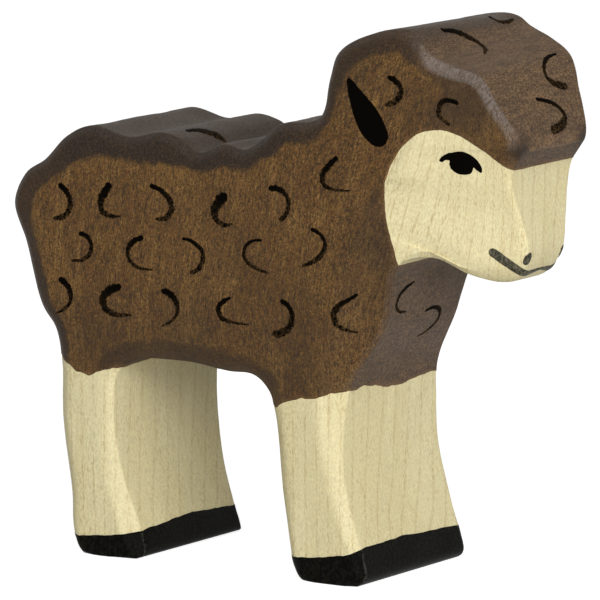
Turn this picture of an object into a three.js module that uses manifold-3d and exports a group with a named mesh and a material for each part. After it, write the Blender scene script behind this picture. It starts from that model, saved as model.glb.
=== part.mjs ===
// A lamb sawn from one board: sanded edges, a tapered head, stained fleece, painted hooves and brush marks.
// Millimetres, +X towards the nose, Y across the board, +Z up from the floor. The outline is drawn with x = 0
// at the front of the chest, and the finished lamb is moved so that its middle is over the origin.
import * as THREE from 'three';
import { mergeVertices } from 'three/addons/utils/BufferGeometryUtils.js';
import Module from 'manifold-3d';

// The board and the sawn outline
const BOARD = 25;
const LEG_LENGTH = 25;
const LEG_SPACING = 33.2;
const FRONT_LEG_SETBACK = 9.9;
const BODY_LENGTH = 54;
const BODY_DEPTH = 29;
const NAPE_RISE = 3.6;
const THROAT_RISE = 15.3;
const HEAD_HEIGHT = 28.7;
const HEAD_REACH = 18.2;
const POLL_SETBACK = 6.5;

// The tapered head and the sanded edges
const MUZZLE_WIDTH = 8.4;
const BROW_WIDTH = 14.8;
const EDGE_DEPTH = 1.3;
const EDGE_BEVEL = 0.9;

// Coats and clearances
const STAIN_DEPTH = 0.6;
const PAINT = 0.2;
const GAP = 0.3;
const HIND_HOOF = 2.5;
const FRONT_HOOF = 3.3;
const HOOF_TILT = 0.14;

// Brush marks
const CURL_HEIGHT = 4.4;
const CURL_BULGE = 2.4;
const STROKE = 0.7;
const EAR_LENGTH = 9.5;
const EAR_WIDTH = 2.8;
const EYE_WIDTH = 4.6;
const EYE_HEIGHT = 2.7;
const NOSTRIL_WIDTH = 0.9;
const NOSTRIL_HEIGHT = 1.6;
const NOSTRIL_SETBACK = 0.9;
const NOSTRIL_RISE = 1.1;

// How finely curves are followed
const OUTLINE_STEPS = 2;
const BORDER_STEPS = 24;
const CURVE_SEGMENTS = 5;

// Places along the outline
const HALF = BOARD / 2;
const BELLY = LEG_LENGTH;
const KNEE = LEG_LENGTH / 2;
const BACK = BELLY + BODY_DEPTH;
const NAPE = BACK + NAPE_RISE;
const THROAT = BELLY + THROAT_RISE;
const CROWN = THROAT + HEAD_HEIGHT;
const RUMP = -BODY_LENGTH;
const BROW = HEAD_REACH;
const POLL = -POLL_SETBACK;
const FORE = -FRONT_LEG_SETBACK;
const HIND = FORE - LEG_SPACING;
const MUZZLE_CUT = (BOARD - MUZZLE_WIDTH) / 2;
const BROW_CUT = (BOARD - BROW_WIDTH) / 2;
const FAR = 2 * (BODY_LENGTH + CROWN);

// A place along the back, as a share of the way from the rump to the poll
const onBack = (share) => RUMP + share * (POLL - RUMP);

// Finishes: pale sanded wood, brown stain, black hoof paint and thinner black brush paint
const BARE_WOOD = { color: new THREE.Color(0.80, 0.74, 0.52), roughness: 0.5 };
const STAINED_WOOD = { color: new THREE.Color(0.20, 0.13, 0.08), roughness: 0.65 };
const HOOF_PAINT = { color: new THREE.Color(0.015, 0.014, 0.013), roughness: 0.4 };
const BRUSH_PAINT = { color: new THREE.Color(0.02, 0.017, 0.014), roughness: 0.6 };

const wasm = await Module();
wasm.setup();

// Landmarks of the sawn outline, anticlockwise seen from the right flank: x and z of the outline, then how
// far on from there its sanded edge reaches the flat flank. Where the edge isn't the usual one, two more
// values follow: how deep the outline lies below the flank, and the width of the bevel along it.
const LANDMARKS = [
  // hind hoof
  [HIND, 0, 0.4, 0.6, 0.6, 0.5],
  [HIND + 7.2, 0, -0.2, 0.6, 0.6, 0.5],
  [HIND + 8.4, 0.9, -0.9, 0.5, 1.1, 0.8],
  // front of the hind leg
  [HIND + 7.6, 3.6, -1.4, 0.2, 1.5, 0.9],
  [HIND + 5.4, KNEE - 2, -1.9, 0.2, 1.3, 0.8],
  [HIND + 4.4, BELLY - 6.5, -1.9, 0.2, 0.8, 0.6],
  // belly
  [HIND + 5.0, BELLY - 1.6, -1.8, 2.0, 0.9, 0.7],
  [HIND + 7.2, BELLY, -0.4, 2.4],
  [HIND + 14.6, BELLY + 0.6, 0, 2.5],
  [FORE - 12.1, BELLY, 0, 2.5],
  [FORE - 8.0, BELLY - 0.2, 0.6, 2.2],
  [FORE - 5.9, BELLY - 1.9, 1.8, 1.8],
  // back of the front leg
  [FORE - 5.0, BELLY - 4.6, 1.7, 0.4],
  [FORE - 3.9, KNEE - 1.5, 1.6, 0.2],
  [FORE - 2.8, 4.2, 1.3, 0.2],
  // front hoof
  [FORE - 2.0, 1.6, 1.1, 0.5, 1.0, 0.8],
  [FORE - 0.4, 0, 0.3, 0.6, 0.6, 0.5],
  [FORE + 7.3, 0, -0.4, 0.6, 0.7, 0.5],
  [FORE + 8.4, 1.0, -1.1, 0.4, 1.1, 0.8],
  // front of the front leg
  [FORE + 8.0, 3.2, -1.0, 0.3],
  [FORE + 6.2, KNEE - 3.5, -1.5, 0.2],
  [FORE + 4.9, KNEE + 2.5, -2.1, 0.1, 1.5, 0.9],
  [FORE + 4.9, BELLY - 4.5, -2.9, 0.3, 2.0, 1.1],
  // chest and throat
  [-4.5, BELLY + 0.2, -3.3, 0.2, 2.4, 1.2],
  [-1.5, BELLY + 6.4, -4.2, 0.4, 3.2, 1.3],
  [0, THROAT - 4.3, -4.9, 0.4, 3.0, 1.3],
  [0.9, THROAT - 1.5, -5.2, 0.2, 2.4, 1.1],
  [2.7, THROAT, -6.6, 1.2, 0.31 * MUZZLE_CUT, 1.2],
  [6.1, THROAT + 0.2, -8.4, 3.6, 0.52 * MUZZLE_CUT, 1.2],
  // jaw and chin
  [BROW - 8.1, THROAT - 1.5, -11.4, 7.0, 0.80 * MUZZLE_CUT, 1.8],
  [BROW - 4.9, THROAT - 2.4, -13.9, 9.5, 1.02 * MUZZLE_CUT, 2.0],
  [BROW - 2.4, THROAT - 1.4, -15.8, 9.7, 1.06 * MUZZLE_CUT, 1.9],
  // nose and face
  [BROW - 1.0, THROAT + 1.5, -16.5, 7.8, 1.02 * MUZZLE_CUT, 1.2],
  [BROW - 1.3, THROAT + 5.3, -15.1, 4.8, 0.90 * MUZZLE_CUT, 0.8],
  [BROW - 1.8, CROWN - 18.6, -13.0, 0.8, 1.14 * BROW_CUT, 0.8],
  // underside of the overhanging brow
  [BROW - 1.5, CROWN - 16.8, -12.5, 0, 1.08 * BROW_CUT, 0.7],
  [BROW - 0.9, CROWN - 15.7, -12.6, 0.1, 1.04 * BROW_CUT, 0.8],
  [BROW - 0.3, CROWN - 14.7, -12.6, 0, 1.01 * BROW_CUT, 1.0],
  // edge of the brow
  [BROW - 0.05, CROWN - 14.2, -12.5, 0, BROW_CUT, 1.2],
  // brow
  [BROW, CROWN - 12.6, -11.7, 0.1, 0.98 * BROW_CUT, 1.6],
  // forehead
  [BROW - 1.6, CROWN - 8.4, -8.1, -0.8, 0.77 * BROW_CUT, 1.6],
  [BROW - 3.5, CROWN - 4.6, -4.8, -2.2, 0.54 * BROW_CUT, 1.5],
  [BROW - 6.9, CROWN - 2.9, -2.5, -3.2, 0.41 * BROW_CUT, 1.6],
  [BROW - 9.9, CROWN - 1.7, -1.3, -3.5, 0.32 * BROW_CUT, 1.5],
  // crown and the back of the head
  [BROW - 11.7, CROWN - 0.5, -1.6, -3.1],
  [BROW - 14.1, CROWN, -1.2, -2.8],
  [POLL + 4.0, CROWN - 1.4, 1.0, -2.4],
  [POLL + 0.8, CROWN - 3.5, 2.4, -1.8],
  [POLL - 0.4, CROWN - 6.6, 2.6, -0.4],
  [POLL - 1.8, NAPE, 1.0, -1.8],
  // wavy back, from the nape to the tail end
  [POLL - 7.8, NAPE - 1.4, 1.2, -2.8],
  [onBack(0.785), BACK + 0.2, 1.2, -2.4],
  [onBack(0.726), BACK - 1.3, 0.6, -2.3],
  [onBack(0.665), BACK - 0.8, 0.2, -3.0],
  [onBack(0.583), BACK - 2.1, 0.4, -2.2],
  [onBack(0.528), BACK - 0.6, 0.2, -3.3],
  [onBack(0.465), BACK, 0.1, -3.7],
  [onBack(0.368), BACK - 0.9, 0.2, -2.9],
  [RUMP + 11.9, BACK + 0.1, 1.0, -3.9],
  [RUMP + 8.1, BACK - 1.4, 1.8, -3.2],
  // rump and the back of the hind leg
  [RUMP + 4.7, BACK - 4.6, 2.2, -2.0],
  [RUMP + 1.7, BACK - 6.6, 2.8, -2.0],
  [RUMP, BACK - 10.4, 3.4, -0.8],
  [RUMP + 1.8, BACK - 15.2, 2.8, -0.6],
  [RUMP + 4.0, BELLY + 6.2, 2.6, 0.2],
  [HIND - 4.6, BELLY + 2.9, 2.2, 0.5],
  [HIND - 3.8, BELLY - 1.5, 1.9, 0.1],
  [HIND - 3.8, BELLY - 7.5, 1.8, 0],
  [HIND - 2.4, KNEE - 5, 1.5, 0.1],
  [HIND - 1.7, 2.2, 1.1, 0.4, 1.0, 0.8],
];

// The bevel takes at most these shares of the sanded edge's reach over the flank and of its depth
const BEVEL_REACH_LIMIT = 0.45;
const BEVEL_DEPTH_LIMIT = 0.65;

// Share of an inset that each line along a sanded edge moves, in from the outline and in from the flank
const OUTLINE_SHARE = [1.0, 0.41];
const BEVEL_SHARE = [0.8, 0.85];
const FLANK_SHARE = [1.0, 1.0];

// The lines along one side of the board: the flank edge, the bevel edge and the outline, side by side.
// The soles are planed flat where the outline would dip below the floor.
function edgeLines() {
  const outline = LANDMARKS.map(([x, z, , , depth = EDGE_DEPTH]) => new THREE.Vector3(x, HALF - depth, z));
  const inward = inwardNormals(outline);
  const bevel = LANDMARKS.map(([x, z, reachX, reachZ, depth = EDGE_DEPTH, width = EDGE_BEVEL], i) => {
    const step = Math.min(width, BEVEL_REACH_LIMIT * Math.hypot(reachX, reachZ));
    const rise = Math.min(width, BEVEL_DEPTH_LIMIT * depth);
    return new THREE.Vector3(x + inward[i].x * step, HALF - depth + rise, z + inward[i].y * step);
  });
  const flank = LANDMARKS.map(([x, z, reachX, reachZ]) => new THREE.Vector3(x + reachX, HALF, z + reachZ));
  const count = LANDMARKS.length * OUTLINE_STEPS;
  return [flank, bevel, outline].map((points) => {
    const curve = new THREE.CatmullRomCurve3(points, true);
    const line = Array.from({ length: count }, (_, i) => curve.getPoint(i / count));
    line.forEach((point) => point.setZ(Math.max(point.z, 0)));
    return line;
  });
}

// Directions into the wood, square to a closed line in the plane of the board
function inwardNormals(line) {
  return line.map((_, i) => {
    const before = line[(i + line.length - 1) % line.length];
    const after = line[(i + 1) % line.length];
    return new THREE.Vector2(before.z - after.z, after.x - before.x).normalize();
  });
}

// The whole sawn and sanded figure, with every face moved into the wood by an inset, or out where negative
function figure(inset) {
  const [flank, bevel, outline] = edgeLines();
  const inward = inwardNormals(outline);
  const moved = (line, share) => line.map((point, i) => new THREE.Vector3(
    point.x + inward[i].x * inset * share[0],
    point.y - inset * share[1],
    point.z + inward[i].y * inset * share[0],
  ));
  const side = [moved(flank, FLANK_SHARE), moved(bevel, BEVEL_SHARE), moved(outline, OUTLINE_SHARE)];
  const rings = [
    ...side.map((ring) => ring.map((p) => [p.x, -p.y, p.z])),
    ...side.toReversed().map((ring) => ring.map((p) => [p.x, p.y, p.z])),
  ];
  const count = outline.length;
  const triangles = [];
  for (let ring = 0; ring + 1 < rings.length; ring += 1) {
    for (let i = 0; i < count; i += 1) {
      const j = (i + 1) % count;
      const a = ring * count + i;
      const b = (ring + 1) * count + i;
      const c = (ring + 1) * count + j;
      const d = ring * count + j;
      triangles.push(a, b, c, a, c, d);
    }
  }
  const cap = side[0].map((p) => new THREE.Vector2(p.x, p.z));
  const last = (rings.length - 1) * count;
  for (const [a, b, c] of THREE.ShapeUtils.triangulateShape(cap, [])) {
    triangles.push(a, b, c, last + a, last + c, last + b);
  }
  return closedSolid(rings.flat(2), triangles);
}

function closedSolid(vertices, triangles) {
  return new wasm.Manifold(new wasm.Mesh({
    numProp: 3,
    vertProperties: Float32Array.from(vertices),
    triVerts: Uint32Array.from(triangles),
  }));
}

// Axes of a drawing seen from the right flank, the front and above: across, up, and out of the sheet
const FROM_RIGHT = [[1, 0, 0], [0, 0, 1], [0, -1, 0]];
const FROM_FRONT = [[0, 1, 0], [0, 0, 1], [1, 0, 0]];
const FROM_ABOVE = [[1, 0, 0], [0, 1, 0], [0, 0, 1]];

// A drawn shape pushed along its line of sight, between two distances towards the viewer
function prism(shape, axes, from, to) {
  const geometry = new THREE.ExtrudeGeometry(shape, {
    depth: to - from,
    bevelEnabled: false,
    curveSegments: CURVE_SEGMENTS,
  });
  geometry.translate(0, 0, from);
  geometry.applyMatrix4(new THREE.Matrix4().makeBasis(...axes.map((axis) => new THREE.Vector3(...axis))));
  geometry.deleteAttribute('normal');
  geometry.deleteAttribute('uv');
  const merged = mergeVertices(geometry, 1e-5);
  return closedSolid(merged.attributes.position.array, merged.index.array);
}

function polygon(points) {
  return new THREE.Shape(points.map(([x, y]) => new THREE.Vector2(x, y)));
}

// A line of points moved sideways, to its left as it runs
function offset(points, amount) {
  return points.map(([x, y], i) => {
    const before = points[Math.max(i - 1, 0)];
    const after = points[Math.min(i + 1, points.length - 1)];
    const run = new THREE.Vector2(after[0] - before[0], after[1] - before[1]).normalize();
    return [x - run.y * amount, y + run.x * amount];
  });
}

// Painted borders, drawn from the right flank and cut straight across the board. They run on past the wood.
const OVERRUN = 7;
const HIND_BORDER = [
  [HIND - 4.6 - OVERRUN, BELLY - 0.4],
  [HIND - 3.2, BELLY - 0.6],
  [HIND + 1.0, BELLY - 2.2],
  [HIND + 3.9, BELLY - 1.4],
  [HIND + 4.4 + OVERRUN, BELLY - 1.0],
];
const FRONT_BORDER = [
  [FORE - 4.6 - OVERRUN, BELLY - 3.8],
  [FORE - 4.4, BELLY - 3.6],
  [FORE - 1.2, BELLY - 2.2],
  [FORE + 2.6, BELLY - 1.9],
  [FORE + 5.0, BELLY - 1.3],
  [FORE + 5.0 + OVERRUN, BELLY - 1.2],
];
const FACE_FLOOR = THROAT - 3.5;
const FACE_TOP = CROWN - 18.0;
const FACE_BORDER = new THREE.SplineCurve([
  [3.5, FACE_FLOOR],
  [2.4, THROAT + 0.4],
  [1.7, THROAT + 5],
  [2.4, THROAT + 10.4],
  [4.8, CROWN - 14.2],
  [8.8, CROWN - 11.7],
  [BROW - 5.7, CROWN - 13.2],
  [BROW - 1.4, CROWN - 16.6],
  [BROW + 3, FACE_TOP],
].map(([x, z]) => new THREE.Vector2(x, z))).getPoints(BORDER_STEPS).map((p) => [p.x, p.y]);

const throughBoard = (points) => prism(polygon(points), FROM_RIGHT, -FAR, FAR);
const below = (border, drop) => throughBoard([
  [border[0][0], -FAR],
  [border.at(-1)[0], -FAR],
  ...border.map(([x, z]) => [x, z - drop]).toReversed(),
]);
const faceZone = (shrink) => throughBoard([
  ...offset(FACE_BORDER, -shrink),
  [FAR, FACE_TOP],
  [FAR, FACE_FLOOR],
]);
const hoofZone = (heel, height) => throughBoard([
  [heel - LEG_SPACING / 3, -FAR],
  [heel + LEG_SPACING / 2, -FAR],
  [heel + LEG_SPACING / 2, height + HOOF_TILT * LEG_SPACING / 2],
  [heel - LEG_SPACING / 3, height - HOOF_TILT * LEG_SPACING / 3],
]);
const bareZone = (shrink) => faceZone(shrink)
  .add(below(HIND_BORDER, shrink))
  .add(below(FRONT_BORDER, shrink));

const whole = figure(0);
const coatFloor = figure(STAIN_DEPTH);
const core = figure(STAIN_DEPTH + GAP);
const film = figure(-GAP - PAINT).subtract(figure(-GAP));

const lamb = new THREE.Group();

// Adds a named piece to the lamb, from its solid
function piece(name, body, finish) {
  const { vertProperties, triVerts } = body.getMesh();
  const geometry = new THREE.BufferGeometry();
  geometry.setAttribute('position', new THREE.BufferAttribute(Float32Array.from(vertProperties), 3));
  geometry.setIndex(new THREE.BufferAttribute(Uint32Array.from(triVerts), 1));
  geometry.computeVertexNormals();
  const mesh = new THREE.Mesh(geometry, new THREE.MeshStandardMaterial({ ...finish, metalness: 0 }));
  mesh.name = name;
  lamb.add(mesh);
}

// The wood shows at the face and the legs and runs on under the coats
const underHooves = hoofZone(HIND, HIND_HOOF + GAP).add(hoofZone(FORE, FRONT_HOOF + GAP));
piece('wood_blank', whole.intersect(bareZone(GAP)).subtract(underHooves).add(core), BARE_WOOD);
piece('fleece_stain', whole.subtract(bareZone(0)).subtract(coatFloor), STAINED_WOOD);

function hoofPaint(name, heel, height) {
  piece(name, whole.intersect(hoofZone(heel, height)).subtract(coatFloor), HOOF_PAINT);
}

hoofPaint('hind_hoof_paint', HIND, HIND_HOOF);
hoofPaint('front_hoof_paint', FORE, FRONT_HOOF);

// A C-shaped brush stroke with narrow ends. Its belly lies at a point and faces along a direction.
const TIP = 0.3 * STROKE;

function curl(x, y, facing) {
  const ends = CURL_HEIGHT / 2;
  const shape = new THREE.Shape();
  const at = (along, aside) => [
    x + facing[0] * along - facing[1] * aside,
    y + facing[1] * along + facing[0] * aside,
  ];
  shape.moveTo(...at(-CURL_BULGE, ends));
  shape.bezierCurveTo(...at(STROKE, ends), ...at(STROKE, -ends), ...at(-CURL_BULGE, -ends));
  shape.lineTo(...at(-CURL_BULGE - TIP, -ends + TIP));
  shape.bezierCurveTo(...at(-STROKE, -ends), ...at(-STROKE, ends), ...at(-CURL_BULGE - TIP, ends - TIP));
  return shape;
}

// A mark painted on the figure where a drawn shape meets it, between two distances towards the viewer
function mark(name, shape, axes, from, to) {
  piece(name, film.intersect(prism(shape, axes, from, to)), BRUSH_PAINT);
}

const SIDE_START = MUZZLE_WIDTH / 4;

function bothSides(name, shape) {
  mark(`right_${name}`, shape, FROM_RIGHT, SIDE_START, BOARD);
  mark(`left_${name}`, shape, FROM_RIGHT, -BOARD, -SIDE_START);
}

const FORWARD = [1, 0];
const REARWARD = [-1, 0];
const UPWARD = [0, 1];
const DOWNWARD = [0, -1];

// Curls on the flanks, in three rows of facing pairs: where each belly lies, as shares of the body's length
// from the rump and of its depth from the belly line
const FLANK_CURLS = [
  [0.178, 0.666, FORWARD], [0.256, 0.679, REARWARD], [0.463, 0.693, FORWARD],
  [0.569, 0.693, REARWARD], [0.780, 0.752, FORWARD], [0.863, 0.869, REARWARD],
  [0.239, 0.479, FORWARD], [0.331, 0.476, REARWARD], [0.548, 0.493, FORWARD],
  [0.654, 0.524, REARWARD], [0.885, 0.579, FORWARD],
  [0.181, 0.262, FORWARD], [0.257, 0.255, REARWARD], [0.476, 0.272, FORWARD],
  [0.581, 0.269, REARWARD], [0.793, 0.276, FORWARD], [0.889, 0.297, REARWARD],
];
FLANK_CURLS.forEach(([along, up, facing], i) => {
  bothSides(`curl_${i + 1}`, curl(RUMP + along * BODY_LENGTH, BELLY + up * BODY_DEPTH, facing));
});

// A place on the side of the head, as shares of its length from the poll and of its height from the throat
const HEAD_LENGTH = BROW - POLL;
const onHead = (along, up) => [POLL + along * HEAD_LENGTH, THROAT + up * HEAD_HEIGHT];

// Curls on the head, chest, back and rump. Places across the board are shares of it.
bothSides('head_curl_1', curl(...onHead(0.453, 0.742), FORWARD));
bothSides('head_curl_2', curl(...onHead(0.640, 0.676), REARWARD));
mark('chest_curl_1', curl(-0.25 * BOARD, BELLY + 10.2, REARWARD), FROM_FRONT, FORE, FAR);
mark('chest_curl_2', curl(0.19 * BOARD, BELLY + 6.2, FORWARD), FROM_FRONT, FORE, FAR);
mark('forehead_curl_1', curl(0.1 * BOARD, CROWN - 6.0, REARWARD), FROM_FRONT, BROW - HEAD_LENGTH / 2, FAR);
mark('forehead_curl_2', curl(0.11 * BOARD, CROWN - 10.8, FORWARD), FROM_FRONT, BROW - HEAD_LENGTH / 2, FAR);
mark('crown_curl_1', curl(BROW - 10.0, -0.1 * BOARD, UPWARD), FROM_ABOVE, NAPE, FAR);
mark('crown_curl_2', curl(BROW - 12.2, 0.29 * BOARD, DOWNWARD), FROM_ABOVE, NAPE, FAR);
mark('back_curl', curl(onBack(0.526), -0.14 * BOARD, UPWARD), FROM_ABOVE, THROAT, FAR);
mark('rump_curl_1', curl(-0.2 * BOARD, BACK - 9.5, FORWARD), FROM_FRONT, -FAR, HIND);
mark('rump_curl_2', curl(0.18 * BOARD, BACK - 14, REARWARD), FROM_FRONT, -FAR, HIND);

// Ear, a leaf that hangs forward from its tip to a round end
function ear() {
  const [x, z] = onHead(0.125, 0.78);
  const lean = new THREE.Vector2(0.557, -0.83);
  const at = (along, aside) => [
    x + (lean.x * along) * EAR_LENGTH - (lean.y * aside) * EAR_WIDTH,
    z + (lean.y * along) * EAR_LENGTH + (lean.x * aside) * EAR_WIDTH,
  ];
  const shape = new THREE.Shape();
  shape.moveTo(...at(0, 0));
  shape.bezierCurveTo(...at(0.45, -0.35), ...at(1, -1), ...at(1, 0));
  shape.bezierCurveTo(...at(1, 1), ...at(0.45, 0.35), ...at(0, 0));
  return shape;
}

// Eye, a round pupil under a lash that runs out to both sides
function eye() {
  const [x, z] = onHead(0.729, 0.446);
  const at = (along, up) => [x + along * EYE_WIDTH, z + up * EYE_HEIGHT];
  const shape = new THREE.Shape();
  shape.moveTo(...at(-0.5, 0.1));
  shape.quadraticCurveTo(...at(0, 1.1), ...at(0.5, -0.3));
  shape.quadraticCurveTo(...at(0.35, -0.25), ...at(0.28, -0.2));
  shape.quadraticCurveTo(...at(0.06, -0.85), ...at(-0.22, -0.18));
  shape.quadraticCurveTo(...at(-0.28, 0.05), ...at(-0.5, 0.1));
  return shape;
}

// Nostril, on the bevel at the corner of the nose
function nostril() {
  const shape = new THREE.Shape();
  const [x, z] = [BROW - NOSTRIL_SETBACK, THROAT + NOSTRIL_RISE];
  shape.absellipse(x, z, NOSTRIL_WIDTH / 2, NOSTRIL_HEIGHT / 2, 0, 2 * Math.PI);
  return shape;
}

bothSides('ear', ear());
bothSides('eye', eye());
bothSides('nostril', nostril());

// Mouth, one line from the right cheek round the muzzle to the left cheek
const MOUTH = [[BROW - 5.0, THROAT + 1.9], [BROW - 3.1, THROAT - 0.1], [BROW + 1.5, THROAT - 3.1]];
const mouthBand = [...offset(MOUTH, -STROKE / 2), ...offset(MOUTH, STROKE / 2).toReversed()];
mark('mouth', polygon(mouthBand), FROM_RIGHT, -FAR, FAR);

lamb.position.x = -(RUMP + BROW) / 2;

export default lamb;
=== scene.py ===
# Looks of the wooden lamb: one sawn and sanded figure, with the stain, the hoof paint and every brush stroke
# as thin coats on it. Drawings are in millimetres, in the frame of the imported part: +X towards the nose, the
# right flank at -Y, +Z up. Meshes are in metres.
import math

import bmesh
import bpy
import numpy as np
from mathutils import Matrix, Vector
from mathutils.bvhtree import BVHTree
from mathutils.geometry import delaunay_2d_cdt


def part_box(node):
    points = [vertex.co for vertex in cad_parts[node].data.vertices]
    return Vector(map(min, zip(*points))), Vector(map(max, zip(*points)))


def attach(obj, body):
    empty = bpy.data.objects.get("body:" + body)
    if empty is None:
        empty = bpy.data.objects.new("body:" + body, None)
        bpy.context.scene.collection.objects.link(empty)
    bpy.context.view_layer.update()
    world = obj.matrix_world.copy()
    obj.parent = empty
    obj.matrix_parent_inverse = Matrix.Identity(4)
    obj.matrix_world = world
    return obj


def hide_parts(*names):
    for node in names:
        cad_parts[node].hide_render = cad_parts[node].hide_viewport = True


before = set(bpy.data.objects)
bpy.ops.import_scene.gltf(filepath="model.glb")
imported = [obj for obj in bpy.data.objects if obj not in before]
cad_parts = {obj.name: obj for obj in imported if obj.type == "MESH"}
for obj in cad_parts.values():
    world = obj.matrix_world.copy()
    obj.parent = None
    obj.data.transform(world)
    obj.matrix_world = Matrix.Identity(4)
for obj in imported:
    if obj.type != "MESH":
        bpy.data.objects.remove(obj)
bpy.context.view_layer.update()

MM = 0.001

# Main places, from the box of the stained part of the figure
lowest, highest = (np.array(corner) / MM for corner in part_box("fleece_stain"))
HALF_BOARD = highest[1]
RUMP = lowest[0]
BROW = highest[0]
CROWN = highest[2]
THROAT = CROWN - 28.7
BELLY = THROAT - 15.3
KNEE = BELLY / 2
BACK = BELLY + 29.0
NAPE = BACK + 3.6
CHEST = BROW - 18.2
POLL = CHEST - 6.5
FORE = CHEST - 9.9
HIND = FORE - 33.2
MUZZLE_CUT = HALF_BOARD - 4.2
BROW_CUT = HALF_BOARD - 7.4


def on_back(share):
    """A place along the back, as a share of the way from the rump to the poll."""
    return RUMP + share * (POLL - RUMP)


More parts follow.
